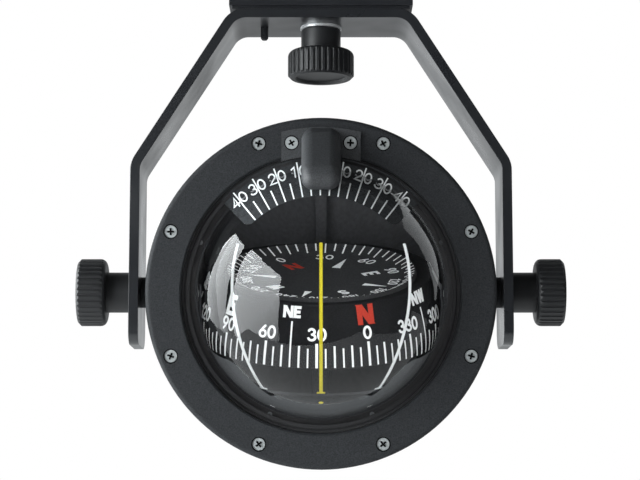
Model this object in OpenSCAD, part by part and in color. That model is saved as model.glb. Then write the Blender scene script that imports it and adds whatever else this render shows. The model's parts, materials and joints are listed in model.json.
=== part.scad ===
// Steering compass with a clear dome, hung in a strip bracket from an overhead base block.
// The origin is the centre of the base block's top face, +X is right, +Z is up, and the dome
// looks towards -Y. All lengths are in millimetres.

/* [Base block] */
// Width of the base block
base_w = 96; // [90:1:140]
// Depth of the base block, front to back
base_d = 44; // [40:1:60]
// Height of the base block
base_h = 14; // [12:0.5:24]
// Chamfer round the base block's lower edge
base_chamfer = 1.5; // [0.5:0.5:3]
// Spacing of the fixing screws from side to side
fixing_pitch_x = 76; // [70:1:80]
// Spacing of the fixing screws from front to back
fixing_pitch_y = 28; // [24:1:30]
// Hole for a fixing screw
fixing_hole_d = 5; // [3.5:0.5:6]
// Countersink for a fixing screw's head
fixing_head_d = 10; // [8:0.5:11]
// Distance of the index pin from the middle
index_pin_x = 30; // [24:1:34]
// Diameter of the index pin
index_pin_d = 4; // [3:0.5:5]
// Length of the index pin below the bracket
index_pin_drop = 7; // [3:0.5:10]

/* [Bracket] */
// Gap between the bezel and each arm
arm_gap = 3.5; // [2:0.5:8]
// Thickness of the strip
strip_t = 5; // [4:0.5:6]
// Width of the strip
strip_w = 44; // [40:1:50]
// Height of the bracket's top face above the tilt axis
bracket_rise = 147; // [140:1:165]
// Width under the top bar, between the inner corners
top_inside_w = 88; // [80:1:100]
// Height above the tilt axis at which the arms start to lean in
shoulder_rise = 64; // [50:1:75]
// Inner radius of the strip's bends
bend_r = 9; // [6:0.5:12]
// Length of the arms below the tilt axis
arm_drop = 28.5; // [20:0.5:35]
// Corner radius of the arm ends
arm_corner_r = 9; // [3:0.5:14]

/* [Knobs] */
// Diameter of a knob
knob_d = 35; // [30:0.5:36]
// Thickness of a knob's grip
knob_t = 14.8; // [10:0.2:18]
// Chamfer on a knob's outer rim
knob_chamfer = 1.6; // [0.8:0.1:2.5]
// Rounding of the grip's shoulder, beside the hub
knob_shoulder = 3.2; // [1:0.1:4]
// Number of flutes round a knob
knob_flutes = 36; // [24:1:44]
// Width of a flute
flute_d = 1.9; // [1:0.1:2.1]
// Diameter of the shallow recess in a knob's end
knob_recess_d = 27.4; // [20:0.2:29]
// Depth of that recess
knob_recess_depth = 1.5; // [0.5:0.1:3]
// Diameter of a knob's hub
knob_hub_d = 21; // [16:0.5:24]
// Length of a side knob's hub
side_hub_len = 13; // [8:0.5:18]
// Length of the centre knob's hub
centre_hub_len = 11.5; // [8:0.5:14]
// Diameter of the knobs' studs
stud_d = 8; // [6:0.5:10]
// Diameter of the washer on the centre knob
washer_d = 22; // [18:0.5:26]
// Thickness of that washer
washer_t = 1.5; // [1:0.1:2.5]

/* [Bezel] */
// Width of the bezel's ring, from its window to its edge
bezel_band_w = 18.5; // [17:0.5:24]
// Width of the dome's flange that shows inside the bezel
window_gap = 7.5; // [5:0.5:9]
// Depth of the bezel's rim, front to back
bezel_depth = 14; // [12:0.5:18]
// Rounding of the bezel's outer edge
bezel_edge_r = 2.5; // [1:0.5:4]
// Number of bezel screws
bezel_screw_count = 8; // [6:1:12]
// Distance of the bezel screws from the bezel's edge
bezel_screw_inset = 7; // [5.5:0.25:8]
// Diameter of a screw head
screw_head_d = 6.6; // [5.6:0.1:7]
// Diameter of a screw shank
screw_shank_d = 3.5; // [3:0.1:4]

/* [Dome] */
// Outer diameter of the dome
dome_d = 128; // [116:0.5:142]
// Wall of the dome
dome_wall = 3; // [2:0.25:3.5]
// Distance of the dome's centre behind the bezel's face
dome_centre_depth = 12; // [10:0.5:14]
// Width of the flange round the dome
dome_flange_w = 12.5; // [10.5:0.25:13.5]
// Thickness of the dome's flange
dome_flange_t = 4; // [3:0.5:5]
// Distance of the dome's flange behind the bezel's face
dome_flange_depth = 4; // [3:0.5:5]
// Diameter of the hollow pins in the dome's flange
flange_pin_d = 2.6; // [2:0.2:3]
// Height of the upper flange pins, in degrees above the bowl's middle
upper_pin_angle = 23; // [15:1:30]
// Drop of the lower flange pins, in degrees below the bowl's middle
lower_pin_angle = 67; // [60:1:75]
// Width of the gasket behind the flange
gasket_w = 11.5; // [8:0.5:13]
// Thickness of the gasket
gasket_t = 1.2; // [0.8:0.1:2]

/* [Housing] */
// Wall of the round bowl
bowl_wall = 6; // [4:0.5:7]
// Thickness of the bowl's flange
bowl_flange_t = 6; // [5:0.5:8]
// Distance of the tilt axis behind the bezel's face
tilt_axis_depth = 25; // [22:0.5:28]
// Diameter of the side bosses
side_boss_d = 26; // [22:0.5:30]
// Distance of a side boss's end inside the bezel's edge
side_boss_inset = 6; // [3:0.5:9]
// Diameter of the spacers between the bosses and the arms
spacer_d = 16; // [14:0.5:20]
// Diameter of the threaded inserts
insert_d = 14; // [12:0.5:16]
// Diameter of the rear neck
neck_d = 66; // [60:1:70]
// Length of the neck behind the round of the bowl
neck_len = 6.5; // [5:0.5:12]
// Diameter of the expansion chamber
chamber_d = 46; // [40:1:48]
// Depth of the expansion chamber
chamber_depth = 4.5; // [4:0.5:5]
// Thickness of the diaphragm
diaphragm_t = 1.2; // [0.8:0.1:2]
// Thickness of the rear cover
rear_cover_t = 5; // [4:0.5:8]

/* [Clinometer and lamp] */
// Gap between the clinometer scale and the bezel
scale_gap = 1.1; // [0.5:0.1:2]
// Width of the clinometer scale
scale_w = 21; // [18:0.5:24]
// Half angle of the clinometer scale
scale_half_angle = 47; // [40:1:50]
// Thickness of the clinometer scale
scale_t = 0.6; // [0.4:0.1:1]
// Rounding of the scale's lower corners
scale_corner_r = 4; // [2:0.5:5]
// Width of the lamp hood
hood_w = 19.8; // [18:0.2:24]
// Wall of the lamp hood
hood_wall = 2; // [1.5:0.25:3]
// Half width of the lamp hood's foot plate
hood_plate_half_w = 20.2; // [19:0.2:24]
// Thickness of the foot plate
hood_plate_t = 2; // [2:0.25:3]
// Distance of the hood's screws from the middle
hood_screw_x = 15; // [14:0.5:17]
// Distance of the hood's screws from the bezel's edge
hood_screw_inset = 13; // [11:0.5:14]

/* [Gimbals] */
// Turn of the bowl in the bracket
bowl_tilt = 8; // [-45:1:45]
// Lean of the card towards the dome
card_lean = 12.5; // [-20:0.5:30]
// Gap between the roll yoke and the dome
yoke_gap = 1.7; // [1:0.1:2.5]
// Radial thickness of the roll yoke
yoke_t = 3.4; // [2.5:0.1:3.6]
// Height of the roll yoke's bar
yoke_h = 6; // [4:0.5:8]
// Diameter of the roll shaft
roll_shaft_d = 8; // [6:0.5:9]
// Diameter of the pitch pins
pitch_pin_d = 3; // [2:0.25:3.5]

/* [Card] */
// Gap between the card's rim and the roll yoke
card_gap = 6.6; // [6:0.2:12]
// Narrowing of the card's side from its rim to its top
card_taper = 9.3; // [6:0.1:14]
// Height of the card's top above the dome's centre
card_top_rise = 4.6; // [3:0.2:7]
// Drop of the card's rim below the dome's centre
card_rim_drop = 24; // [20:0.5:26]
// Wall of the card
card_wall = 1.2; // [0.8:0.1:2]
// Diameter of the float under the card
float_d = 60; // [50:1:66]
// Depth of the float
float_h = 15; // [10:0.5:16]
// Length of a card magnet
card_magnet_len = 40; // [30:1:44]

/* [Lubber frame] */
// Gap between the shelf's lower edge and the dome
shelf_gap = 1.5; // [1:0.1:3]
// Distance of the shelf's edge inside the card's rim
shelf_inset = 5.3; // [4:0.1:8]
// Pitch that the frame is free to make, either way
pitch_travel = 35; // [20:1:35]
// Thickness of the shelf
shelf_t = 2; // [1.5:0.25:3]
// Thickness of a lubber wire
lubber_wire_d = 1.7; // [1.2:0.1:2]
// Diameter of the balance weight
weight_d = 56; // [40:1:58]
// Thickness of the balance weight
weight_h = 9; // [5:0.5:10]

/* [Compensator] */
// Diameter of a compensator shaft
comp_shaft_d = 8; // [6:0.5:9]
// Length of a compensator shaft's bore
comp_bore_len = 26; // [20:1:30]
// Diameter of a compensator magnet
comp_magnet_d = 3; // [2:0.25:3.5]

/* [Hidden] */
// Radial clearance of a shaft that turns in its bore
running_fit = 0.05;
// Gap between flat faces of pieces that turn on each other
face_gap = 0.1;
// Radial clearance of a screw in its hole
screw_fit = 0.15;
// Overlap of a cutting tool past the face that it leaves
cut = 1;

$fn = 96;
round_fn = 64;
small_fn = 32;

stud_r = stud_d / 2;
screw_r = screw_shank_d / 2;
pivot_drop = base_h + bracket_rise;
bar_top = -base_h;
bar_bottom = bar_top - strip_t;

dome_r = dome_d / 2;
dome_inner_r = dome_r - dome_wall;
dome_flange_r = dome_r + dome_flange_w;
flange_back = dome_flange_depth + dome_flange_t;
gasket_back = flange_back + gasket_t;
window_r = dome_r + window_gap;
flange_pin_r = dome_r + 3.2;
flange_pin_len = 2;
bezel_r = window_r + bezel_band_w;
bezel_screw_r = bezel_r - bezel_screw_inset;
bowl_inner_r = dome_inner_r + 0.5;
bowl_outer_r = bowl_inner_r + bowl_wall;
arm_x = bezel_r + arm_gap;
arm_outer_x = arm_x + strip_t;
rim_wall = 2;
bowl_flange_r = bezel_r - rim_wall - 0.1;
bowl_flange_back = flange_back + bowl_flange_t;
pocket_r = dome_flange_r + 0.5;
screw_head_r = screw_head_d / 2;
screw_head_h = 2;
screw_sink = 0.6;
side_boss_reach = bezel_r - side_boss_inset;
insert_len = 14;
spacer_len = arm_x - side_boss_reach - face_gap;
neck_r = neck_d / 2;
neck_depth = dome_centre_depth + bowl_outer_r + neck_len;
chamber_r = chamber_d / 2;
rear_screw_r = (neck_r + chamber_r) / 2;
chamber_floor = neck_depth - chamber_depth;
cover_front = neck_depth + diaphragm_t;
cover_back = cover_front + rear_cover_t;
scale_outer_r = window_r - scale_gap;
scale_inner_r = scale_outer_r - scale_w;
yoke_outer_r = dome_inner_r - yoke_gap;
yoke_inner_r = yoke_outer_r - yoke_t;
roll_bush_wall = 2;
roll_bush_proud = 1.2;
roll_bush_front = dome_centre_depth + bowl_inner_r - roll_bush_proud;
roll_bush_end = chamber_floor - 2;
roll_shaft_end = roll_bush_end - 1;
card_rim_r = yoke_inner_r - card_gap;
card_top_r = card_rim_r - card_taper;
arm_inside_x = card_rim_r + 1.4;
frame_arm_t = 2;
shelf_r = card_rim_r - shelf_inset;
shelf_bottom = -sqrt(pow(dome_inner_r - shelf_gap, 2) - pow(shelf_r, 2));
shelf_top = shelf_bottom + shelf_t;
jewel_h = 2.6;
jewel_r = 4;
card_under = card_top_rise - card_wall;
needle_tip = card_under - jewel_h + 1.1;
needle_len = 9;
needle_r = 0.8;
needle_point_h = 1;
needle_flat_r = 0.15;
post_r = 3;
post_cone_h = 4;
post_foot_r = 6;
post_foot_h = 2;

insert_cap_t = 2;
pin_cap_t = 4;
pin_chamfer = 1;
stud_hole_r = stud_r + 0.25;
knob_cap_t = 5;
hub_edge = 0.6;
recess_slope = 0.8;
centre_stud_len = washer_t + strip_t + base_h - insert_cap_t - 3;
side_stud_len = arm_outer_x - side_boss_reach + insert_len - insert_cap_t;

comp_block_w = 44;
comp_block_front = dome_centre_depth + 24;
comp_block_back = comp_block_front + comp_bore_len;
comp_block_top = -bowl_outer_r + 19.5;
comp_block_bottom = -bowl_outer_r - 15.5;
comp_across_depth = (comp_block_front + comp_block_back) / 2 - 1;
comp_across_drop = bowl_outer_r + 8.5;
comp_along_drop = bowl_outer_r - 2.5;
comp_shaft_len = comp_bore_len - 0.5;
comp_magnet_inset = 6.5;
comp_magnet_sink = 0.6;
slot_w = 1.2;
slot_depth = 1.2;

feed_hole_r = 15;
feed_hole_d = 3;
diaphragm_dish = 1.6;
cover_hollow = 2;
cover_chamfer = 1.5;
vent_d = 3;
rear_screw_d = 3;
rear_screw_front = neck_depth - 7;
rear_head_d = 5.6;
rear_head_h = 2;
filler_d = 8;
filler_len = 6;
filler_lift = 35;
filler_sink = 1.5;
filler_head_d = 13;
filler_seal_d = 14;
filler_seal_t = 1;
filler_seat = 2 * filler_seal_t;

bezel_d = 2 * bezel_r;
hood_top = bezel_r - 4.4;
hood_tip = dome_r - 11.6;
hood_corner_r = 6;
hood_reach = round(dome_centre_depth - sqrt(pow(dome_r, 2) - pow(hood_tip + hood_corner_r, 2)) - 12.8);
hood_clear = 0.5;
hood_light_w = hood_w - 2 * hood_wall - 4;
hood_light_h = 12;
hood_light_depth = -9;
hood_light_tilt = 33;
hood_plate_inset = 5;
hood_screw_face = 0.3 - hood_plate_t;
hood_screw_end = flange_back - 3.5;
lamp_rise = bezel_r - 14.5;
lamp_holder_d = 7.6;
lamp_holder_h = 4;
lamp_bulb_r = 2.3;
lamp_bulb_neck = 2.5;

pointer_gap = 1;
pointer_t = 1.6;
pointer_w = 2.4;
pointer_sweep = 122;
frame_arm_w = 7;
frame_eye_r = 4.2;
weight_chamfer = 3;
wire_sphere_r = dome_inner_r - 5;
wire_foot_h = 1.2;
wire_foot_angle = -asin((wire_foot_h / 2 - shelf_top) / wire_sphere_r) + 1.2;
wire_bearing = 46.5;
wire_slant = 0.222;
wire_bend = 0.0018;
wire_steps = 16;
wire_sides = 10;
front_wire_top = 38.9;
side_wire_top = 32.9;
front_foot_d = 4;
side_foot_d = 4.4;
card_edge = 0.6;
float_hole_r = 7;
float_edge = 3;
card_magnet_w = 5;
card_magnet_h = 4;
card_magnet_pitch = 36;

// Moves a piece drawn in the bowl's frame to its place: the bezel's centre is the bowl's
// origin, and +Y runs back into the bowl.
module in_bowl() {
    translate([0, 0, -pivot_drop])
        rotate([bowl_tilt, 0, 0])
            translate([0, -tilt_axis_depth, 0]) children();
}

// Moves a piece drawn about the dome's centre to its place.
module in_gimbal() {
    in_bowl() translate([0, dome_centre_depth, 0]) children();
}

// Moves a piece drawn about the dome's centre, with the card level, to its place.
module in_lubber_frame() {
    in_gimbal() rotate([card_lean, 0, 0]) children();
}

// Turns an outline of radius and depth about the bowl's axis.
module about_depth(fn = $fn) {
    rotate([-90, 0, 0]) rotate_extrude($fn = fn) children();
}

// Cylinder along the bowl's axis, between two depths.
module depth_cylinder(r, from, to, fn = round_fn) {
    translate([0, from, 0]) rotate([-90, 0, 0]) cylinder(r = r, h = to - from, $fn = fn);
}

// Cone along the bowl's axis, between two depths.
module depth_cone(r1, r2, from, to, fn = round_fn) {
    translate([0, from, 0]) rotate([-90, 0, 0]) cylinder(r1 = r1, r2 = r2, h = to - from, $fn = fn);
}

// Cylinder along X, between two places.
module side_cylinder(r, from, to, fn = round_fn) {
    translate([from, 0, 0]) rotate([0, 90, 0]) cylinder(r = r, h = to - from, $fn = fn);
}

// Points of an arc in the plane.
function arc(cx, cy, r, a0, a1, n) =
    [for (i = [0:n]) let (a = a0 + (a1 - a0) * i / n) [cx + r * cos(a), cy + r * sin(a)]];

// Puts its children at each bezel screw.
module at_bezel_screws() {
    for (i = [0:bezel_screw_count - 1])
        rotate([0, 360 / bezel_screw_count * (i + 0.5), 0])
            translate([bezel_screw_r, 0, 0]) children();
}

// Puts its children at each of the hood's screws.
module at_hood_screws() {
    for (side = [-1, 1]) translate([side * hood_screw_x, 0, bezel_r - hood_screw_inset]) children();
}

// Countersunk screw along +Y, with its head's face at the given depth.
module countersunk_screw(face, end) {
    depth_cone(screw_head_r, screw_r, face, face + screw_head_h, small_fn);
    depth_cylinder(screw_r, face + screw_head_h, end, small_fn);
}

// Hole for that screw, with its recess.
module screw_hole(face, end) {
    depth_cylinder(screw_head_r + 3 * screw_fit, face - cut - screw_sink, face, small_fn);
    depth_cone(screw_head_r + screw_fit, screw_r + screw_fit, face, face + screw_head_h, small_fn);
    depth_cylinder(screw_r + screw_fit, face + screw_head_h - face_gap, end, small_fn);
}

// Base block with its screw holes, index pin hole and insert hole.
module base_block() {
    color("#1d1e20") difference() {
        union() {
            translate([-base_w / 2, -base_d / 2, -base_h + base_chamfer])
                cube([base_w, base_d, base_h - base_chamfer]);
            translate([-base_w / 2 + base_chamfer, -base_d / 2 + base_chamfer, -base_h])
                cube([base_w - 2 * base_chamfer, base_d - 2 * base_chamfer, base_h]);
        }
        for (x = [-1, 1], y = [-1, 1]) translate([x * fixing_pitch_x / 2, y * fixing_pitch_y / 2, 0]) {
            translate([0, 0, -base_h - cut])
                cylinder(d = fixing_hole_d, h = base_h + 2 * cut, $fn = small_fn);
            translate([0, 0, -base_h - 0.01])
                cylinder(d1 = fixing_head_d, d2 = fixing_hole_d,
                    h = (fixing_head_d - fixing_hole_d) / 2, $fn = small_fn);
        }
        translate([-index_pin_x, 0, -base_h - cut])
            cylinder(d = index_pin_d, h = base_h - pin_cap_t + cut, $fn = small_fn);
        translate([0, 0, -base_h - cut])
            cylinder(d = insert_d, h = base_h - insert_cap_t + cut, $fn = small_fn);
    }
}

// Threaded insert in the base block.
module base_insert() {
    color("#b58f45") difference() {
        translate([0, 0, -base_h]) cylinder(d = insert_d, h = base_h - insert_cap_t, $fn = small_fn);
        translate([0, 0, -base_h - cut])
            cylinder(r = stud_r + running_fit, h = base_h + cut, $fn = small_fn);
    }
}

// Index pin that stops the bracket from swivelling on the base block.
module index_pin() {
    color("#3a3c3f") {
        translate([-index_pin_x, 0, bar_bottom - index_pin_drop + pin_chamfer])
            cylinder(d = index_pin_d, h = strip_t + index_pin_drop - pin_chamfer + base_h - pin_cap_t,
                $fn = small_fn);
        translate([-index_pin_x, 0, bar_bottom - index_pin_drop])
            cylinder(d1 = index_pin_d - 1.6, d2 = index_pin_d, h = pin_chamfer, $fn = small_fn);
    }
}

// Lean of the bracket's legs, and how far its bends reach from the virtual corners.
lean_angle = atan2(arm_x - top_inside_w / 2, bracket_rise - strip_t - shoulder_rise);
top_setback = bend_r * tan((90 - lean_angle) / 2);
shoulder_setback = bend_r * tan(lean_angle / 2);

// Right half of the strip's edge, at a distance outside its inner face: width, then height
// above the tilt axis.
function strip_edge(out) = concat(
    arc(top_inside_w / 2 - top_setback, bracket_rise - strip_t - bend_r, bend_r + out,
        90, lean_angle, 10),
    arc(arm_x - bend_r, shoulder_rise - shoulder_setback, bend_r + out, lean_angle, 0, 6),
    [[arm_x + out, -arm_drop]]);

// The same points on the left, in reverse order.
function mirrored(points) =
    [for (i = [len(points) - 1:-1:0]) [-points[i][0], points[i][1]]];

function reversed(points) = [for (i = [len(points) - 1:-1:0]) points[i]];

// Strip bent to the bracket's outline.
module bent_strip() {
    outer = concat(mirrored(strip_edge(strip_t)), strip_edge(strip_t));
    inner = concat(mirrored(strip_edge(0)), strip_edge(0));
    translate([0, strip_w / 2, -pivot_drop]) rotate([90, 0, 0])
        linear_extrude(height = strip_w) polygon(concat(outer, reversed(inner)));
}

// Cuts the sharp corner off an arm's end.
module arm_corner(side, y_side) {
    translate([side * (arm_x + strip_t / 2), y_side * (strip_w / 2 - arm_corner_r),
        -pivot_drop - arm_drop + arm_corner_r])
        difference() {
            translate([-strip_t, y_side > 0 ? 0 : -arm_corner_r - cut, -arm_corner_r - cut])
                cube([2 * strip_t, arm_corner_r + cut, arm_corner_r + cut]);
            translate([-strip_t - cut, 0, 0]) side_cylinder(arm_corner_r, 0, 2 * (strip_t + cut));
        }
}

// Bracket bent from flat strip.
module yoke_bracket() {
    color("#232527") difference() {
        bent_strip();
        for (side = [-1, 1], y_side = [-1, 1]) arm_corner(side, y_side);
        translate([0, 0, -pivot_drop])
            side_cylinder(stud_hole_r, -arm_outer_x - cut, arm_outer_x + cut);
        translate([0, 0, bar_bottom - cut]) cylinder(r = stud_hole_r, h = strip_t + 2 * cut);
        translate([-index_pin_x, 0, bar_bottom - cut])
            cylinder(d = index_pin_d + 2 * running_fit, h = strip_t + 2 * cut, $fn = small_fn);
    }
}

// Washer between the bracket and the centre knob.
module centre_washer() {
    color("#b9bcbd") translate([0, 0, bar_bottom - washer_t]) difference() {
        cylinder(d = washer_d, h = washer_t);
        translate([0, 0, -cut]) cylinder(r = stud_hole_r, h = washer_t + 2 * cut);
    }
}

// Fluted grip and hub of a knob; the hub's face is at the origin and the grip lies along +Z.
module knob_grip(hub_len) {
    shoulder = arc(knob_d / 2 - knob_shoulder, hub_len + knob_shoulder, knob_shoulder, -90, 0, 6);
    profile = concat([
        [0, 0],
        [knob_hub_d / 2 - hub_edge, 0],
        [knob_hub_d / 2, hub_edge],
        [knob_hub_d / 2, hub_len]
    ], shoulder, [
        [knob_d / 2, hub_len + knob_t - knob_chamfer],
        [knob_d / 2 - knob_chamfer, hub_len + knob_t],
        [knob_recess_d / 2, hub_len + knob_t],
        [knob_recess_d / 2 - recess_slope, hub_len + knob_t - knob_recess_depth],
        [0, hub_len + knob_t - knob_recess_depth]
    ]);
    difference() {
        rotate_extrude() polygon(profile);
        for (i = [0:knob_flutes - 1])
            rotate([0, 0, 360 / knob_flutes * i])
                translate([knob_d / 2 + flute_d * 0.12, 0, hub_len - cut])
                    cylinder(d = flute_d, h = knob_t + 2 * cut, $fn = 16);
        translate([0, 0, -cut])
            cylinder(r = stud_r, h = hub_len + knob_t - knob_cap_t + cut, $fn = small_fn);
    }
}

// Threaded stud of a knob, with a chamfered tip; it runs from inside the grip along -Z.
module knob_stud(inside_len, outside_len) {
    chamfer = 1;
    translate([0, 0, chamfer - outside_len])
        cylinder(r = stud_r, h = inside_len + outside_len - chamfer, $fn = small_fn);
    translate([0, 0, -outside_len])
        cylinder(r1 = stud_r - chamfer, r2 = stud_r, h = chamfer, $fn = small_fn);
}

module at_centre_knob() {
    translate([0, 0, bar_bottom - washer_t - face_gap]) rotate([180, 0, 0]) children();
}

module at_side_knob(side) {
    translate([side * (arm_outer_x + face_gap), 0, -pivot_drop]) rotate([0, side * 90, 0]) children();
}

module centre_knob_grip() {
    color("#1a1b1d") at_centre_knob() knob_grip(centre_hub_len);
}

module centre_knob_stud() {
    color("#a9adaf") at_centre_knob() knob_stud(centre_hub_len + knob_t - knob_cap_t, centre_stud_len);
}

module left_knob_grip() {
    color("#1a1b1d") at_side_knob(-1) knob_grip(side_hub_len);
}

module left_knob_stud() {
    color("#a9adaf") at_side_knob(-1) knob_stud(side_hub_len + knob_t - knob_cap_t, side_stud_len);
}

module right_knob_grip() {
    color("#1a1b1d") at_side_knob(1) knob_grip(side_hub_len);
}

module right_knob_stud() {
    color("#a9adaf") at_side_knob(1) knob_stud(side_hub_len + knob_t - knob_cap_t, side_stud_len);
}

// Threaded insert in a side boss.
module side_insert(side) {
    in_bowl() translate([0, tilt_axis_depth, 0]) mirror([side < 0 ? 1 : 0, 0, 0]) difference() {
        side_cylinder(insert_d / 2, side_boss_reach - insert_len, side_boss_reach);
        side_cylinder(stud_r + running_fit, side_boss_reach - insert_len - cut, side_boss_reach + cut);
    }
}

module left_insert() {
    color("#b58f45") side_insert(-1);
}

module right_insert() {
    color("#b58f45") side_insert(1);
}

// Spacer between a side boss and an arm.
module side_spacer(side) {
    in_bowl() translate([0, tilt_axis_depth, 0]) mirror([side < 0 ? 1 : 0, 0, 0]) difference() {
        side_cylinder(spacer_d / 2, side_boss_reach, side_boss_reach + spacer_len);
        side_cylinder(stud_hole_r, side_boss_reach - cut, side_boss_reach + spacer_len + cut);
    }
}

module left_spacer() {
    color("#17181a") side_spacer(-1);
}

module right_spacer() {
    color("#17181a") side_spacer(1);
}

// Ring that clamps the dome to the bowl.
module bezel_ring() {
    edge = arc(bezel_r - bezel_edge_r, bezel_edge_r, bezel_edge_r, -90, 0, 6);
    profile = concat(
        [[window_r, 1], [window_r + 1, 0]],
        edge,
        [
            [bezel_r, bezel_depth],
            [bezel_r - rim_wall, bezel_depth],
            [bezel_r - rim_wall, flange_back],
            [pocket_r, flange_back],
            [pocket_r, dome_flange_depth],
            [window_r, dome_flange_depth]
        ]);
    color("#2b2d2f") in_bowl() difference() {
        about_depth(128) polygon(profile);
        at_bezel_screws() screw_hole(screw_sink, flange_back + cut);
        at_hood_screws() {
            depth_cone(screw_head_r + screw_fit, screw_r + screw_fit, hood_screw_face,
                hood_screw_face + screw_head_h, small_fn);
            depth_cylinder(screw_r + running_fit, -cut, hood_screw_end + 0.5, small_fn);
        }
    }
}

module bezel_screws() {
    color("#b3b8ba") in_bowl() at_bezel_screws()
        countersunk_screw(screw_sink, bowl_flange_back - 1);
}

// Clear dome with its clamping flange.
module dome_lens() {
    color("#cfe0e8", 0.3) in_bowl() difference() {
        union() {
            intersection() {
                translate([0, dome_centre_depth, 0]) rotate([90, 0, 0]) sphere(r = dome_r, $fn = 128);
                depth_cylinder(dome_r + cut, -dome_r, flange_back, 128);
            }
            depth_cylinder(dome_flange_r, dome_flange_depth, flange_back, 128);
        }
        translate([0, dome_centre_depth, 0]) rotate([90, 0, 0]) sphere(r = dome_inner_r, $fn = 128);
        at_flange_pins() depth_cylinder(flange_pin_d / 2, dome_flange_depth - cut,
            dome_flange_depth + flange_pin_len, small_fn);
    }
}

// Puts its children at each pin in the dome's flange.
module at_flange_pins() {
    for (a = [-upper_pin_angle, upper_pin_angle - 180, lower_pin_angle, 180 - lower_pin_angle])
        rotate([0, a, 0]) translate([flange_pin_r, 0, 0]) children();
}

// Hollow pins, each in a blind hole in the dome's flange.
module flange_pins() {
    color("#e9eceb") in_bowl() at_flange_pins() difference() {
        depth_cylinder(flange_pin_d / 2, dome_flange_depth, dome_flange_depth + flange_pin_len, small_fn);
        depth_cylinder(flange_pin_d / 4, dome_flange_depth - cut, dome_flange_depth + flange_pin_len / 2,
            small_fn);
    }
}

module dome_gasket() {
    color("#111213") in_bowl() difference() {
        depth_cylinder(dome_flange_r, flange_back, gasket_back, 128);
        depth_cylinder(dome_flange_r - gasket_w, flange_back - cut, gasket_back + cut, 128);
    }
}

// Outline of the rear housing: radius, then depth behind the bezel's face.
function housing_outline() =
    let (
        shoulder_r = bowl_outer_r + 3,
        shoulder_depth = bowl_flange_back + 12,
        fillet = 1.5,
        start_angle = asin((shoulder_depth + 2 * fillet - dome_centre_depth) / bowl_outer_r),
        end_angle = acos(neck_r / bowl_outer_r)
    )
    concat(
        [
            [0, flange_back],
            [bowl_flange_r, flange_back],
            [bowl_flange_r, bowl_flange_back - 1],
            [bowl_flange_r - 1, bowl_flange_back],
            [shoulder_r + fillet, bowl_flange_back],
            [shoulder_r, bowl_flange_back + fillet],
            [shoulder_r, shoulder_depth]
        ],
        arc(0, dome_centre_depth, bowl_outer_r, start_angle, end_angle, 14),
        [[neck_r, neck_depth], [0, neck_depth]]);

// Rear housing: the round bowl that holds the liquid, its bosses and the compensator block.
module rear_housing() {
    color("#26282a") in_bowl() difference() {
        union() {
            about_depth(128) polygon(housing_outline());
            translate([0, tilt_axis_depth, 0]) {
                side_cylinder(side_boss_d / 2, -side_boss_reach, -bowl_inner_r);
                side_cylinder(side_boss_d / 2, bowl_inner_r, side_boss_reach);
            }
            translate([-comp_block_w / 2, comp_block_front, comp_block_bottom])
                cube([comp_block_w, comp_block_back - comp_block_front, comp_block_top - comp_block_bottom]);
        }
        difference() {
            translate([0, dome_centre_depth, 0]) rotate([90, 0, 0]) sphere(r = bowl_inner_r, $fn = 128);
            depth_cylinder(roll_shaft_d / 2 + roll_bush_wall + 2, roll_bush_front, chamber_floor, small_fn);
        }
        depth_cylinder(pocket_r, 0, gasket_back, 128);
        depth_cylinder(roll_shaft_d / 2 + roll_bush_wall, roll_bush_front - cut, roll_bush_end, small_fn);
        depth_cylinder(chamber_r, chamber_floor, neck_depth + cut, round_fn);
        for (a = [45:90:315]) rotate([0, a, 0]) translate([feed_hole_r, 0, 0])
            depth_cylinder(feed_hole_d / 2, dome_centre_depth + bowl_inner_r - 5, chamber_floor + cut, small_fn);
        at_bezel_screws() depth_cylinder(screw_r + running_fit, flange_back - cut,
            bowl_flange_back - 0.5, small_fn);
        at_rear_screws() depth_cylinder(rear_screw_d / 2 + running_fit, rear_screw_front - 1,
            neck_depth + cut, small_fn);
        translate([0, tilt_axis_depth, 0]) {
            side_cylinder(insert_d / 2, -side_boss_reach - cut, -side_boss_reach + insert_len);
            side_cylinder(insert_d / 2, side_boss_reach - insert_len, side_boss_reach + cut);
        }
        at_filler_plug() {
            depth_cylinder(filler_d / 2, -2 * bowl_wall, cut, small_fn);
            depth_cylinder(filler_seal_d / 2 + 1, -filler_seat, 2 * filler_seat, small_fn);
        }
        at_across_compensator()
            side_cylinder(comp_shaft_d / 2 + running_fit, -comp_bore_len, cut, small_fn);
        at_along_compensator()
            depth_cylinder(comp_shaft_d / 2 + running_fit, -comp_bore_len, cut, small_fn);
    }
}

// Places each of the rear cover's screws.
module at_rear_screws() {
    for (a = [30:60:330]) rotate([0, a, 0]) translate([rear_screw_r, 0, 0]) children();
}

// Outer end of the filler plug's seat, on the back of the bowl; +Y points outwards.
module at_filler_plug() {
    translate([0, dome_centre_depth, 0]) rotate([filler_lift, 0, 0])
        translate([0, bowl_outer_r - filler_sink, 0]) children();
}

// Right-hand face of the compensator block, where the athwartship shaft comes out.
module at_across_compensator() {
    translate([comp_block_w / 2, comp_across_depth, -comp_across_drop]) children();
}

// Rear face of the compensator block, where the fore-and-aft shaft comes out.
module at_along_compensator() {
    translate([0, comp_block_back, -comp_along_drop]) children();
}

module roll_bush() {
    color("#a98440") in_bowl() difference() {
        depth_cylinder(roll_shaft_d / 2 + roll_bush_wall, roll_bush_front, roll_bush_end, small_fn);
        depth_cylinder(roll_shaft_d / 2 + running_fit, roll_bush_front - cut, roll_bush_end + cut,
            small_fn);
    }
}

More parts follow.
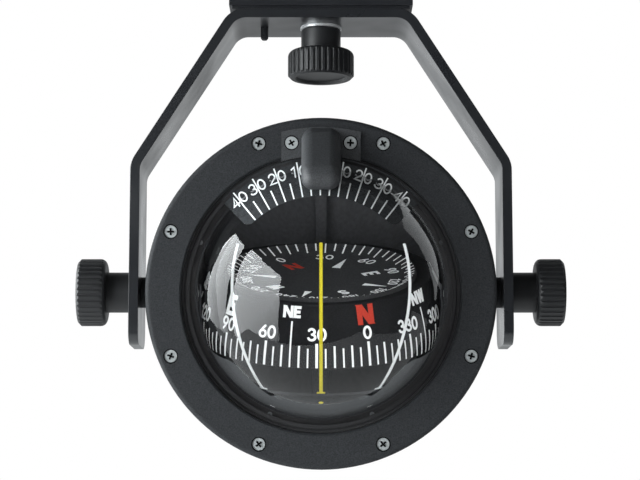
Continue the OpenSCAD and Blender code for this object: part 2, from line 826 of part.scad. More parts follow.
// Rubber diaphragm that takes up the liquid's change of volume.
module expansion_diaphragm() {
    edge_r = chamber_r - 1.5;
    half_t = diaphragm_t / 3;
    dish = function (r) neck_depth + diaphragm_t / 2 - diaphragm_dish * pow(cos(90 * r / edge_r), 2);
    front = [for (i = [0:12]) let (r = edge_r * i / 12) [r, dish(r) - half_t]];
    back = [for (i = [12:-1:0]) let (r = edge_r * i / 12) [r, dish(r) + half_t]];
    color("#141516") in_bowl() {
        about_depth(round_fn) polygon(concat(front, back));
        difference() {
            depth_cylinder(neck_r, neck_depth, cover_front);
            depth_cylinder(edge_r - 0.5, neck_depth - cut, cover_front + cut);
            at_rear_screws() depth_cylinder(rear_screw_d / 2 + screw_fit, neck_depth - cut,
                cover_front + cut, small_fn);
        }
    }
}

// Rear cover over the diaphragm, with its vent.
module rear_cover() {
    color("#26282a") in_bowl() difference() {
        about_depth(round_fn) polygon([
            [0, cover_front + cover_hollow],
            [chamber_r - 1 - cover_hollow, cover_front + cover_hollow],
            [chamber_r - 1, cover_front],
            [neck_r, cover_front],
            [neck_r, cover_back - cover_chamfer],
            [neck_r - cover_chamfer, cover_back],
            [0, cover_back]
        ]);
        depth_cylinder(vent_d / 2, cover_front - cut, cover_back + cut, small_fn);
        at_rear_screws() {
            depth_cylinder(rear_screw_d / 2 + screw_fit, cover_front - cut, cover_back + cut, small_fn);
            depth_cylinder(rear_head_d / 2 + 2 * screw_fit, cover_back - rear_head_h, cover_back + cut,
                small_fn);
        }
    }
}

module rear_cover_screws() {
    color("#b3b8ba") in_bowl() at_rear_screws() {
        depth_cylinder(rear_screw_d / 2, rear_screw_front, cover_back - rear_head_h, small_fn);
        depth_cylinder(rear_head_d / 2, cover_back - rear_head_h, cover_back - 0.2, small_fn);
    }
}

module filler_plug() {
    color("#b58f45") in_bowl() at_filler_plug() difference() {
        union() {
            depth_cylinder(filler_d / 2 - running_fit, -filler_len, -filler_seal_t, small_fn);
            depth_cylinder(filler_head_d / 2, -filler_seal_t, filler_sink, small_fn);
        }
        translate([-filler_head_d / 2 - cut, filler_sink - slot_depth, -slot_w / 2])
            cube([filler_head_d + 2 * cut, slot_depth + cut, slot_w]);
    }
}

module filler_seal() {
    color("#111213") in_bowl() at_filler_plug() difference() {
        depth_cylinder(filler_seal_d / 2, -filler_seat, -filler_seal_t, small_fn);
        depth_cylinder(filler_d / 2, -filler_seat - cut, 0, small_fn);
    }
}

// Slotted compensator shaft with a cross hole for its magnet; its outer end is at the origin.
module compensator_shaft() {
    difference() {
        side_cylinder(comp_shaft_d / 2, -comp_shaft_len, 0, small_fn);
        translate([-slot_w, -comp_shaft_d, -slot_w / 2]) cube([slot_w + cut, 2 * comp_shaft_d, slot_w]);
        translate([comp_magnet_inset - comp_shaft_len, 0, -comp_shaft_d])
            cylinder(d = comp_magnet_d, h = 2 * comp_shaft_d, $fn = small_fn);
    }
}

module compensator_magnet() {
    translate([comp_magnet_inset - comp_shaft_len, 0, comp_magnet_sink - comp_shaft_d / 2])
        cylinder(d = comp_magnet_d, h = comp_shaft_d - 2 * comp_magnet_sink, $fn = small_fn);
}

module across_compensator_shaft() {
    color("#b58f45") in_bowl() at_across_compensator() compensator_shaft();
}

module across_compensator_magnet() {
    color("#7d8184") in_bowl() at_across_compensator() compensator_magnet();
}

module along_compensator_shaft() {
    color("#b58f45") in_bowl() at_along_compensator() rotate([0, 0, 90]) compensator_shaft();
}

module along_compensator_magnet() {
    color("#7d8184") in_bowl() at_along_compensator() rotate([0, 0, 90]) compensator_magnet();
}

// Front outline of the clinometer scale: a sector with rounded lower corners.
function scale_outline() =
    let (
        corner_centre_r = scale_inner_r + scale_corner_r,
        corner_angle = asin(scale_corner_r / corner_centre_r),
        a = scale_half_angle,
        left = 90 + a - corner_angle,
        right = 90 - a + corner_angle
    )
    concat(
        arc(0, 0, scale_outer_r, 90 - a, 90 + a, 32),
        arc(corner_centre_r * cos(left), corner_centre_r * sin(left), scale_corner_r,
            180 + a, 180 + left, 6),
        arc(0, 0, scale_inner_r, left - 1, right + 1, 28),
        arc(corner_centre_r * cos(right), corner_centre_r * sin(right), scale_corner_r,
            180 + right, 360 - a, 6));

// Clinometer scale, a thin curved plate that lies on the dome and its flange.
module clinometer_scale() {
    lie = 0.05;
    inner = dome_r + lie;
    outer = inner + scale_t;
    flat_back = dome_flange_depth - lie;
    flat_front = flat_back - scale_t;
    start = asin((scale_inner_r - 1) / inner);
    inner_end = acos((dome_centre_depth - flat_back) / inner);
    outer_end = acos((dome_centre_depth - flat_front) / outer);
    profile = concat(
        [for (i = [0:12]) let (a = start + (inner_end - start) * i / 12)
            [inner * sin(a), dome_centre_depth - inner * cos(a)]],
        [[scale_outer_r, flat_back], [scale_outer_r, flat_front]],
        [for (i = [12:-1:0]) let (a = start + (outer_end - start) * i / 12)
            [outer * sin(a), dome_centre_depth - outer * cos(a)]]);
    color("#303234") in_bowl() intersection() {
        about_depth(128) polygon(profile);
        rotate([90, 0, 0]) translate([0, 0, -dome_flange_depth])
            linear_extrude(height = dome_r) polygon(scale_outline());
    }
}

// Rounded body of the lamp hood, shrunk all round by the given amount.
module hood_body(shrink) {
    ball = hood_corner_r - shrink;
    x = hood_w / 2 - hood_corner_r;
    hull() for (side = [-1, 1]) {
        for (p = [
            [hood_plate_t, hood_top - hood_corner_r],
            [-3 - hood_plate_t * 2, hood_top - hood_corner_r - 3],
            [hood_reach + 1, hood_tip + hood_corner_r + 2],
            [hood_reach, hood_tip + hood_corner_r],
            [hood_plate_t, dome_r + hood_plate_t]
        ])
            translate([side * x, p[0], p[1]]) sphere(r = ball, $fn = 24);
    }
}

// Lamp hood with its foot plate on the bezel.
module lamp_hood() {
    color("#242628") in_bowl() {
        difference() {
            hood_body(0);
            hood_body(hood_wall);
            translate([-hood_w, -hood_plate_t, 0]) cube([2 * hood_w, dome_r, bezel_d]);
            translate([0, hood_light_depth, dome_r - 4]) rotate([-hood_light_tilt, 0, 0])
                translate([-hood_light_w / 2, -4, -hood_light_h])
                    cube([hood_light_w, 22, hood_light_h]);
            translate([0, dome_centre_depth, 0]) rotate([90, 0, 0])
                sphere(r = dome_r + scale_t + hood_clear, $fn = 128);
        }
        difference() {
            intersection() {
                difference() {
                    depth_cylinder(bezel_r - hood_plate_inset, -hood_plate_t, 0, 128);
                    depth_cylinder(scale_outer_r, -hood_plate_t - cut, cut, 128);
                }
                translate([-hood_plate_half_w, -2 * hood_plate_t, 0])
                    cube([2 * hood_plate_half_w, 4 * hood_plate_t, bezel_d]);
            }
            at_hood_screws() screw_hole(hood_screw_face, cut);
        }
    }
}

// Holder of the lamp, on the foot plate inside the hood.
module lamp_holder() {
    color("#e4e2dc") in_bowl() translate([0, 0, lamp_rise])
        depth_cylinder(lamp_holder_d / 2, -hood_plate_t - lamp_holder_h, -hood_plate_t, small_fn);
}

module lamp_bulb() {
    front = -hood_plate_t - lamp_holder_h;
    color("#f4ead0") in_bowl() translate([0, 0, lamp_rise]) {
        depth_cylinder(lamp_bulb_r, front - lamp_bulb_neck, front, small_fn);
        translate([0, front - lamp_bulb_neck, 0]) sphere(r = lamp_bulb_r, $fn = small_fn);
    }
}

module lamp_screws() {
    color("#b3b8ba") in_bowl() at_hood_screws()
        countersunk_screw(hood_screw_face, hood_screw_end);
}

// Yoke that rolls on a shaft at the back of the bowl.
module roll_yoke() {
    color("#1f2123") in_gimbal() difference() {
        union() {
            translate([0, 0, -yoke_h / 2]) rotate_extrude(angle = 180, $fn = 128)
                translate([yoke_inner_r, 0]) square([yoke_t, yoke_h]);
            for (side = [0, 1]) mirror([side, 0, 0])
                side_cylinder(yoke_h * 0.75, yoke_inner_r, yoke_outer_r);
            depth_cylinder(roll_shaft_d / 2, yoke_inner_r, roll_shaft_end - dome_centre_depth, small_fn);
        }
        side_cylinder(pitch_pin_d / 2, -bezel_r, bezel_r, small_fn);
        outside_of_bowl();
    }
}

// What lies outside the bowl's round wall, apart from the roll shaft.
module outside_of_bowl() {
    difference() {
        translate([-bezel_r, -bezel_r, -bezel_r]) cube(bezel_d);
        rotate([90, 0, 0]) sphere(r = dome_inner_r - pointer_gap, $fn = 128);
        depth_cylinder(roll_shaft_d / 2 + 0.01, 0, bezel_r, small_fn);
    }
}

// Pins on which the lubber frame pitches.
module pitch_pins() {
    color("#9a9ea0") in_gimbal() for (side = [0, 1]) mirror([side, 0, 0])
        side_cylinder(pitch_pin_d / 2, arm_inside_x + face_gap, yoke_outer_r - 5 * face_gap, small_fn);
}

// Pointer of the clinometer, an arm that rises from the back of the roll yoke.
module roll_pointer() {
    color("#101112") in_gimbal() difference() {
        translate([-pointer_w / 2, 0, 0]) rotate([0, 90, 0]) rotate([0, 0, 90])
            rotate_extrude(angle = pointer_sweep, $fn = 128)
                translate([dome_inner_r - pointer_gap - pointer_t, 0]) square([pointer_t, pointer_w]);
        translate([-pointer_w, 0, -yoke_h]) cube([2 * pointer_w, bezel_r, 1.5 * yoke_h]);
        depth_cylinder(roll_shaft_d / 2 + 0.02, 0, bezel_r, small_fn);
    }
}

// Frame that stays level: two arms on the pitch pins and the shelf under the card.
module lubber_frame() {
    knee = -card_rim_drop - frame_arm_t;
    shelf_back = -shelf_top / tan(card_lean + pitch_travel + 6);
    outline = [
        [arm_inside_x, 0],
        [arm_inside_x + frame_arm_t, 0],
        [arm_inside_x + frame_arm_t, knee],
        [shelf_r - 0.5, shelf_bottom],
        [shelf_r - 2 * frame_arm_t, shelf_bottom],
        [shelf_r - 2 * frame_arm_t, shelf_top],
        [shelf_r - frame_arm_t, shelf_top],
        [arm_inside_x, knee - 1]
    ];
    color("#34373a") in_lubber_frame() difference() {
        union() {
            difference() {
                translate([0, 0, shelf_bottom]) cylinder(r = shelf_r, h = shelf_t, $fn = 128);
                translate([-shelf_r, shelf_back, shelf_bottom - cut])
                    cube([2 * shelf_r, shelf_r, shelf_t + 2 * cut]);
            }
            for (side = [0, 1]) mirror([side, 0, 0]) {
                translate([0, frame_arm_w / 2, 0]) rotate([90, 0, 0])
                    linear_extrude(height = frame_arm_w) polygon(outline);
                side_cylinder(frame_eye_r, arm_inside_x, arm_inside_x + frame_arm_t);
            }
        }
        side_cylinder(pitch_pin_d / 2 + running_fit, -bezel_r, bezel_r, small_fn);
    }
}

module balance_weight() {
    color("#6d7174") in_lubber_frame() translate([0, 0, shelf_bottom])
        rotate([180, 0, 0]) rotate_extrude() polygon([
            [0, 0],
            [weight_d / 2, 0],
            [weight_d / 2, weight_h - weight_chamfer],
            [weight_d / 2 - weight_chamfer, weight_h],
            [0, weight_h]
        ]);
}

// Post that carries the card, with its needle.
module pivot_post() {
    color("#34373a") in_lubber_frame() rotate_extrude($fn = small_fn) polygon([
        [0, shelf_top],
        [post_foot_r, shelf_top],
        [post_foot_r, shelf_top + post_foot_h],
        [post_r, shelf_top + post_foot_h],
        [post_r, needle_tip - needle_len - post_cone_h],
        [needle_r, needle_tip - needle_len],
        [needle_r, needle_tip - needle_point_h],
        [needle_flat_r, needle_tip - 0.05],
        [0, needle_tip - 0.05]
    ]);
}

// Bearing of a side wire, from straight ahead, at an angle above the level of the dome's centre.
function side_wire_bearing(a) = wire_bearing + wire_slant * a + wire_bend * pow(a, 2);

// Points up a wire that lies on a sphere inside the dome; a front wire keeps to the middle.
function wire_path(top_angle, front) = [
    for (i = [0:wire_steps]) let (
        a = wire_foot_angle + (top_angle - wire_foot_angle) * i / wire_steps,
        b = front ? 0 : side_wire_bearing(a)
    )
    wire_sphere_r * [cos(a) * sin(b), -cos(a) * cos(b), sin(a)]];

// Round wire swept along a path, with a foot on the shelf.
module lubber_wire(path, foot_r) {
    last = len(path) - 1;
    wire_r = lubber_wire_d / 2;
    ring = function (i)
        let (
            tangent = path[min(i + 1, last)] - path[max(i - 1, 0)],
            t = tangent / norm(tangent),
            side0 = cross(t, path[i]),
            u = side0 / norm(side0),
            v = cross(u, t)
        )
        [for (k = [0:wire_sides - 1]) let (a = 360 * k / wire_sides)
            path[i] + wire_r * (cos(a) * u + sin(a) * v)];
    walls = [for (i = [0:last - 1], k = [0:wire_sides - 1]) let (n = (k + 1) % wire_sides)
        [i * wire_sides + k, i * wire_sides + n, (i + 1) * wire_sides + n, (i + 1) * wire_sides + k]];
    polyhedron(
        points = [for (i = [0:last]) each ring(i)],
        faces = concat(
            walls,
            [[for (k = [wire_sides - 1:-1:0]) k]],
            [[for (k = [0:wire_sides - 1]) last * wire_sides + k]]));
    translate([path[0][0], path[0][1], shelf_top]) cylinder(r = foot_r, h = wire_foot_h, $fn = small_fn);
}

module front_lubber_wire() {
    color("#d8c93a") in_lubber_frame()
        lubber_wire(wire_path(front_wire_top, true), front_foot_d / 2);
}

module side_lubber_wires() {
    color("#e9eceb") in_lubber_frame() for (side = [0, 1]) mirror([side, 0, 0])
        lubber_wire(wire_path(side_wire_top, false), side_foot_d / 2);
}

// Cone-sided compass card.
module card_shell() {
    slope = card_taper / (card_top_rise + card_rim_drop);
    color("#1b1c1e") in_lubber_frame() rotate_extrude($fn = 128) polygon([
        [0, card_top_rise],
        [card_top_r - card_edge, card_top_rise],
        [card_top_r, card_top_rise - card_edge],
        [card_rim_r, -card_rim_drop],
        [card_rim_r - card_wall, -card_rim_drop],
        [card_top_r - card_wall + slope * card_wall, card_under],
        [0, card_under]
    ]);
}

// Sealed float that carries most of the card's weight.
module card_float() {
    bottom = card_under - float_h;
    float_r = float_d / 2;
    color("#c9b98e") in_lubber_frame() rotate_extrude() polygon([
        [float_hole_r, card_under],
        [float_r - float_edge, card_under],
        [float_r, card_under - float_edge],
        [float_r, bottom + float_edge],
        [float_r - float_edge, bottom],
        [float_hole_r + float_h / 3, bottom]
    ]);
}

module card_magnets() {
    bottom = card_under - float_h;
    color("#7d8184") in_lubber_frame() for (side = [-1, 1])
        translate([-card_magnet_len / 2, (side * card_magnet_pitch - card_magnet_w) / 2,
            bottom - card_magnet_h])
            cube([card_magnet_len, card_magnet_w, card_magnet_h]);
}

// Jewelled cup on which the card turns.
module jewel_cup() {
    color("#8f2434") in_lubber_frame() rotate_extrude($fn = small_fn) polygon([
        [0, card_under],
        [jewel_r, card_under],
        [jewel_r, card_under - jewel_h],
        [jewel_r - 2.4, card_under - jewel_h],
        [0, needle_tip + 0.05]
    ]);
}

base_block();
base_insert();
index_pin();
yoke_bracket();
centre_washer();
centre_knob_grip();
centre_knob_stud();
left_knob_grip();
left_knob_stud();
right_knob_grip();
right_knob_stud();
left_insert();
right_insert();
left_spacer();
right_spacer();
bezel_ring();
bezel_screws();
dome_lens();
flange_pins();
dome_gasket();
rear_housing();
roll_bush();
expansion_diaphragm();
rear_cover();
rear_cover_screws();
filler_plug();
filler_seal();
across_compensator_shaft();
across_compensator_magnet();
along_compensator_shaft();
along_compensator_magnet();
clinometer_scale();
lamp_hood();
lamp_holder();
lamp_bulb();
lamp_screws();
roll_yoke();
pitch_pins();
roll_pointer();
lubber_frame();
balance_weight();
pivot_post();
front_lubber_wire();
side_lubber_wires();
card_shell();
card_float();
card_magnets();
jewel_cup();
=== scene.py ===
"""Looks of an overhead steering compass: finishes, dial markings, clear dome and studio light."""

import json
import math

import bmesh
import bpy
from mathutils import Matrix, Vector


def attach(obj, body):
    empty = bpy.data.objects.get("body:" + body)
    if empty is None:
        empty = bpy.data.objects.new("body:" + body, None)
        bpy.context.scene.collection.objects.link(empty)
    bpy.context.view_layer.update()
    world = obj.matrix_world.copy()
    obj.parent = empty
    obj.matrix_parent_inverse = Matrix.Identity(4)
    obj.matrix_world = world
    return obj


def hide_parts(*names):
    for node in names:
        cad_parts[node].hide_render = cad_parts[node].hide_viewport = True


MM = 0.001

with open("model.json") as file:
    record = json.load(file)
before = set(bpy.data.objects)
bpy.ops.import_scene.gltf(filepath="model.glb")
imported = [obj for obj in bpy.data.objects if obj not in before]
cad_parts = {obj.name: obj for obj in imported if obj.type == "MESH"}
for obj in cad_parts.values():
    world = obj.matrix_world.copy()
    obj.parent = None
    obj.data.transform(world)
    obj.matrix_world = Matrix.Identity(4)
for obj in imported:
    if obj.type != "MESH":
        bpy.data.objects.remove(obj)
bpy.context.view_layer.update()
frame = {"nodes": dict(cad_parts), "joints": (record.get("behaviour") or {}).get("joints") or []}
joints = {joint["name"]: joint for joint in frame["joints"]}


# Frames of the bowl and the card

def frame_at(origin, across, back, up):
    """Matrix that takes a point drawn on these three directions to its place."""
    turn = Matrix((across, back, up)).transposed().to_4x4()
    turn.translation = origin
    return turn


def direction(name):
    """Unit vector of a joint's axis."""
    return Vector(joints[name]["axis"]).normalized()


ACROSS = Vector((1, 0, 0))
DOME_CENTRE = Vector(joints["gimbal_roll"]["pos_m"])
BOWL_BACK = direction("gimbal_roll")
BOWL_UP = ACROSS.cross(BOWL_BACK)
CARD_UP = direction("card_spin")
CARD_BACK = CARD_UP.cross(ACROSS)
about_dome = frame_at(DOME_CENTRE, ACROSS, BOWL_BACK, BOWL_UP)
about_card = frame_at(DOME_CENTRE, ACROSS, CARD_BACK, CARD_UP)


def spans(node, place):
    """Lowest and highest corner of a CAD node, measured in another frame."""
    inverse = place.inverted()
    points = [inverse @ vertex.co for vertex in frame["nodes"][node].data.vertices]
    return [Vector(pick(p[i] for p in points) for i in range(3)) for pick in (min, max)]


dome_low, dome_high = spans("dome_lens", about_dome)
card_low, card_high = spans("card_shell", about_card)
DOME_R = -dome_low.y
DOME_WALL = 3 * MM
INNER_R = DOME_R - DOME_WALL
FLANGE_R = dome_high.x
FLANGE_BACK = dome_high.y
FLANGE_T = 4 * MM
BEZEL_FACE = spans("bezel_ring", about_dome)[0].y
CARD_TOP = card_high.z
CARD_RIM = card_low.z
CARD_RIM_R = card_high.x
CARD_TOP_R = 40 * MM


# Mesh helpers

ON_AXIS = 0.0001 * MM
MERGE_GAP = 0.001 * MM
FLAT_WITHIN = math.radians(1)
BEVEL_STEPS = 2
ROUND_COLUMNS = 160
SPIN_SEED = 7
BOWL_AXIS = (0.0, 1.0, 0.0)
# Between 0 and 1, to tell whole numbers and yes from no
TRUE_ABOVE = 0.5


def finished(name, bm, place, materials, body, hides=(), smooth=40, even=False):
    """Turns a bmesh drawn in a frame into a piece in place, on its body."""
    bmesh.ops.transform(bm, matrix=place, verts=bm.verts)
    mesh = bpy.data.meshes.new(name)
    bm.to_mesh(mesh)
    bm.free()
    for material in materials:
        mesh.materials.append(material)
    mesh.shade_smooth()
    mesh.set_sharp_from_angle(angle=math.radians(smooth))
    piece = bpy.data.objects.new(name, mesh)
    bpy.context.scene.collection.objects.link(piece)
    if even:
        piece.modifiers.new("flat_faces_first", "WEIGHTED_NORMAL").keep_sharp = True
        piece.data = bpy.data.meshes.new_from_object(
            piece.evaluated_get(bpy.context.evaluated_depsgraph_get()))
        piece.modifiers.clear()
        bpy.data.meshes.remove(mesh)
        piece.data.name = name
    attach(piece, body)
    if hides:
        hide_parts(*hides)


def lathe(bm, outline, columns, closed=True):
    """Turns an outline of radius and depth about the depth axis; returns the faces of each step."""
    rings = []
    for radius, depth in outline:
        if radius < ON_AXIS:
            rings.append([bm.verts.new((0, depth, 0))])
            continue
        turns = [2 * math.pi * i / columns for i in range(columns)]
        rings.append([bm.verts.new((radius * math.cos(a), depth, radius * math.sin(a))) for a in turns])
    strips = []
    pairs = list(zip(rings, rings[1:]))
    if closed:
        pairs.append((rings[-1], rings[0]))
    for one, two in pairs:
        strip = []
        for i in range(columns):
            j = (i + 1) % columns
            corners = [one[i % len(one)], two[i % len(two)], two[j % len(two)], one[j % len(one)]]
            unique = list(dict.fromkeys(corners))
            if len(unique) > 2:
                strip.append(bm.faces.new(unique))
        strips.append(strip)
    return strips


def arc(radius, centre, start, end, steps):
    """Points of radius and depth on a circle about a depth; angles run from straight ahead."""
    angles = [start + (end - start) * i / steps for i in range(steps + 1)]
    return [(radius * math.sin(a), centre - radius * math.cos(a)) for a in angles]


def join_into(bm, part, move=None):
    """Adds a part to a bmesh, with each of its points moved by a function, and frees it."""
    known = {v: bm.verts.new(move(v.co) if move else v.co) for v in part.verts}
    for face in part.faces:
        bm.faces.new([known[v] for v in face.verts])
    part.free()


def maths(nodes, links, operation, one, two):
    """Result of a sum on two numbers or outputs, in a tree of shaders or of geometry."""
    node = nodes.new("ShaderNodeMath")
    node.operation = operation
    for socket, value in zip(node.inputs, (one, two)):
        if isinstance(value, (int, float)):
            socket.default_value = value
        else:
            links.new(value, socket)
    return node.outputs[0]


def turned_copies_tree():
    """Copies of a mesh turned about an axis, some left out, each spun at random about its own pivot."""
    tree = bpy.data.node_groups.new("turned_copies", "GeometryNodeTree")
    for name, kind, value in (("Geometry", "Geometry", None), ("Count", "Int", 8), ("Step", "Float", 0.1),
            ("Start", "Float", 0.0), ("Leave out every", "Int", 0), ("Axis", "Vector", (0, 0, 1)),
            ("Pivot", "Vector", (0, 0, 0)), ("Spin", "Float", 0.0), ("Material", "Material", None)):
        socket = tree.interface.new_socket(name, in_out="INPUT", socket_type=f"NodeSocket{kind}")
        if value is not None:
            socket.default_value = value
    tree.interface.new_socket("Geometry", in_out="OUTPUT", socket_type="NodeSocketGeometry")
    nodes, links = tree.nodes, tree.links
    entry = nodes.new("NodeGroupInput")
    leave = nodes.new("NodeGroupOutput")
    points = nodes.new("GeometryNodeMeshLine")
    points.inputs["Offset"].default_value = (0, 0, 0)
    index = nodes.new("GeometryNodeInputIndex")

    def scaled(vector, amount):
        node = nodes.new("ShaderNodeVectorMath")
        node.operation = "SCALE"
        links.new(vector, node.inputs[0])
        links.new(amount, node.inputs["Scale"])
        return node.outputs[0]

    turn = maths(nodes, links, "MULTIPLY", index.outputs[0], entry.outputs["Step"])
    angle = maths(nodes, links, "ADD", entry.outputs["Start"], turn)
    every = maths(nodes, links, "MAXIMUM", entry.outputs["Leave out every"], 1)
    rest = maths(nodes, links, "MODULO", index.outputs[0], every)
    none_left_out = maths(nodes, links, "LESS_THAN", entry.outputs["Leave out every"], TRUE_ABOVE)
    not_this = maths(nodes, links, "GREATER_THAN", rest, TRUE_ABOVE)
    kept = maths(nodes, links, "MAXIMUM", none_left_out, not_this)
    spin = nodes.new("FunctionNodeRandomValue")
    spin.inputs["Seed"].default_value = SPIN_SEED
    least, most = spin.inputs[2:4]
    links.new(maths(nodes, links, "MULTIPLY", entry.outputs["Spin"], -1), least)
    links.new(entry.outputs["Spin"], most)
    copies = nodes.new("GeometryNodeInstanceOnPoints")
    spun = nodes.new("GeometryNodeRotateInstances")
    real = nodes.new("GeometryNodeRealizeInstances")
    paint = nodes.new("GeometryNodeSetMaterial")
    links.new(entry.outputs["Count"], points.inputs["Count"])
    links.new(points.outputs[0], copies.inputs["Points"])
    links.new(kept, copies.inputs["Selection"])
    links.new(entry.outputs["Geometry"], copies.inputs["Instance"])
    links.new(scaled(entry.outputs["Axis"], angle), copies.inputs["Rotation"])
    links.new(copies.outputs[0], spun.inputs["Instances"])
    links.new(scaled(entry.outputs["Axis"], spin.outputs[1]), spun.inputs["Rotation"])
    links.new(entry.outputs["Pivot"], spun.inputs["Pivot Point"])
    spun.inputs["Local Space"].default_value = True
    links.new(spun.outputs[0], real.inputs[0])
    links.new(real.outputs[0], paint.inputs["Geometry"])
    links.new(entry.outputs["Material"], paint.inputs["Material"])
    links.new(paint.outputs[0], leave.inputs[0])
    return tree


COPIES = turned_copies_tree()


def made_mesh(bm, set_up):
    """Bmesh of a part after the modifiers that a function adds to its holder; the part is freed."""
    mesh = bpy.data.meshes.new("part")
    bm.to_mesh(mesh)
    bm.free()
    holder = bpy.data.objects.new("part", mesh)
    bpy.context.scene.collection.objects.link(holder)
    set_up(holder)
    made = bpy.data.meshes.new_from_object(holder.evaluated_get(bpy.context.evaluated_depsgraph_get()))
    result = bmesh.new()
    result.from_mesh(made)
    bpy.data.objects.remove(holder)
    bpy.data.meshes.remove(mesh)
    bpy.data.meshes.remove(made)
    return result


def turned(bm, count, step, start=0.0, leave=0, axis=(0.0, 0.0, 1.0), pivot=(0.0, 0.0, 0.0), spin=0.0):
    """Copies of a part about an axis, made by the shared tree."""
    sockets = {item.name: item.identifier for item in COPIES.interface.items_tree if item.in_out == "INPUT"}

    def set_up(holder):
        modifier = holder.modifiers.new("copies", "NODES")
        modifier.node_group = COPIES
        for name, value in (("Count", count), ("Step", step), ("Start", start), ("Leave out every", leave),
                ("Axis", axis), ("Pivot", pivot), ("Spin", spin)):
            modifier[sockets[name]] = value
    return made_mesh(bm, set_up)


def rounded(node, width, name, material, body, angle=28):
    """Copy of a CAD node with its sharp edges rounded, shown in its place."""
    source = frame["nodes"][node]
    bm = bmesh.new()
    bm.from_mesh(source.data)
    bmesh.ops.transform(bm, matrix=source.matrix_world, verts=bm.verts)
    bmesh.ops.remove_doubles(bm, verts=bm.verts, dist=MERGE_GAP)
    bmesh.ops.dissolve_limit(bm, angle_limit=FLAT_WITHIN, verts=bm.verts, edges=bm.edges)

    def set_up(holder):
        bevel = holder.modifiers.new("edges", "BEVEL")
        bevel.width = width
        bevel.segments = BEVEL_STEPS
        bevel.limit_method = "ANGLE"
        bevel.angle_limit = math.radians(angle)
    made = made_mesh(bm, set_up)
    finished(name, made, Matrix(), [material], body, hides=[node], smooth=angle, even=True)


# Material helpers

NOISE_LOW, NOISE_HIGH = 0.3, 0.7
# Places of a Mix node's sockets for colours, whose names it uses more than once
MIX_FACTOR, MIX_A, MIX_B, MIX_COLOUR = 0, 6, 7, 2


def new_material(name):
    """Material with an empty node tree; returns it with its nodes and links."""
    material = bpy.data.materials.new(name)
    material.use_nodes = True
    material.node_tree.nodes.clear()
    return material, material.node_tree.nodes, material.node_tree.links


def principled(nodes, links, colour, roughness, **settings):
    """Principled shader wired to the output, with constants on its own sockets."""
    shader = nodes.new("ShaderNodeBsdfPrincipled")
    output = nodes.new("ShaderNodeOutputMaterial")
    shader.inputs["Base Color"].default_value = (*colour, 1)
    shader.inputs["Roughness"].default_value = roughness
    for socket, value in settings.items():
        shader.inputs[socket.replace("_", " ")].default_value = value
    links.new(shader.outputs[0], output.inputs["Surface"])
    return shader


def grain_group():
    """Shared surface texture: a fine grain with its bump, and soft blotches."""
    tree = bpy.data.node_groups.new("surface_grain", "ShaderNodeTree")
    for name, value in (("Grain per mm", 2.0), ("Blotches per mm", 0.03), ("Bump mm", 0.02)):
        socket = tree.interface.new_socket(name, in_out="INPUT", socket_type="NodeSocketFloat")
        socket.default_value = value
    tree.interface.new_socket("Grain", in_out="OUTPUT", socket_type="NodeSocketFloat")
    tree.interface.new_socket("Blotches", in_out="OUTPUT", socket_type="NodeSocketFloat")
    tree.interface.new_socket("Normal", in_out="OUTPUT", socket_type="NodeSocketVector")
    nodes, links = tree.nodes, tree.links
    entry = nodes.new("NodeGroupInput")
    leave = nodes.new("NodeGroupOutput")
    place = nodes.new("ShaderNodeTexCoord")
    for label, detail in (("Grain", 3.0), ("Blotches", 2.0)):
        per_metre = maths(nodes, links, "MULTIPLY", entry.outputs[f"{label} per mm"], 1 / MM)
        noise = nodes.new("ShaderNodeTexNoise")
        noise.inputs["Detail"].default_value = detail
        links.new(place.outputs["Object"], noise.inputs["Vector"])
        links.new(per_metre, noise.inputs["Scale"])
        links.new(noise.outputs["Fac"], leave.inputs[label])
        if label == "Grain":
            height = maths(nodes, links, "MULTIPLY", noise.outputs["Fac"], entry.outputs["Bump mm"])
            bump = nodes.new("ShaderNodeBump")
            bump.inputs["Distance"].default_value = MM
            links.new(height, bump.inputs["Height"])
            links.new(bump.outputs["Normal"], leave.inputs["Normal"])
    return tree


GRAIN = grain_group()


def fade(nodes, links, source, first, last):
    """Result that goes evenly from one value to another, each given after its place on the source."""
    node = nodes.new("ShaderNodeMapRange")
    for end, (place, value) in (("Min", first), ("Max", last)):
        node.inputs[f"From {end}"].default_value = place
        node.inputs[f"To {end}"].default_value = value
    links.new(source, node.inputs["Value"])
    return node.outputs["Result"]


def drift(nodes, links, noise, low, high):
    """Value that wanders between two limits with a noise."""
    return fade(nodes, links, noise, (NOISE_LOW, low), (NOISE_HIGH, high))


def mixed(nodes, links, share, one, two):
    """Mix of two shaders by the share of the second."""
    node = nodes.new("ShaderNodeMixShader")
    for socket, source in zip(node.inputs, (share, one, two)):
        links.new(source, socket)
    return node.outputs[0]


def grained(name, colour, roughness, grain=2.0, bump=0.02, speckle=0.25, spread=0.08, **settings):
    """Solid finish whose colour and roughness drift a little, over a fine grain."""
    material, nodes, links = new_material(name)
    shader = principled(nodes, links, colour, roughness, **settings)
    group = nodes.new("ShaderNodeGroup")
    group.node_tree = GRAIN
    group.inputs["Grain per mm"].default_value = grain
    group.inputs["Bump mm"].default_value = bump
    mix = nodes.new("ShaderNodeMix")
    mix.data_type = "RGBA"
    mix.inputs[MIX_A].default_value = (*[c * (1 - speckle) for c in colour], 1)
    mix.inputs[MIX_B].default_value = (*[min(1, c * (1 + speckle)) for c in colour], 1)
    links.new(drift(nodes, links, group.outputs["Grain"], 0, 1), mix.inputs[MIX_FACTOR])
    links.new(mix.outputs[MIX_COLOUR], shader.inputs["Base Color"])
    links.new(drift(nodes, links, group.outputs["Blotches"], roughness - spread, roughness + spread),
        shader.inputs["Roughness"])
    links.new(group.outputs["Normal"], shader.inputs["Normal"])
    return material


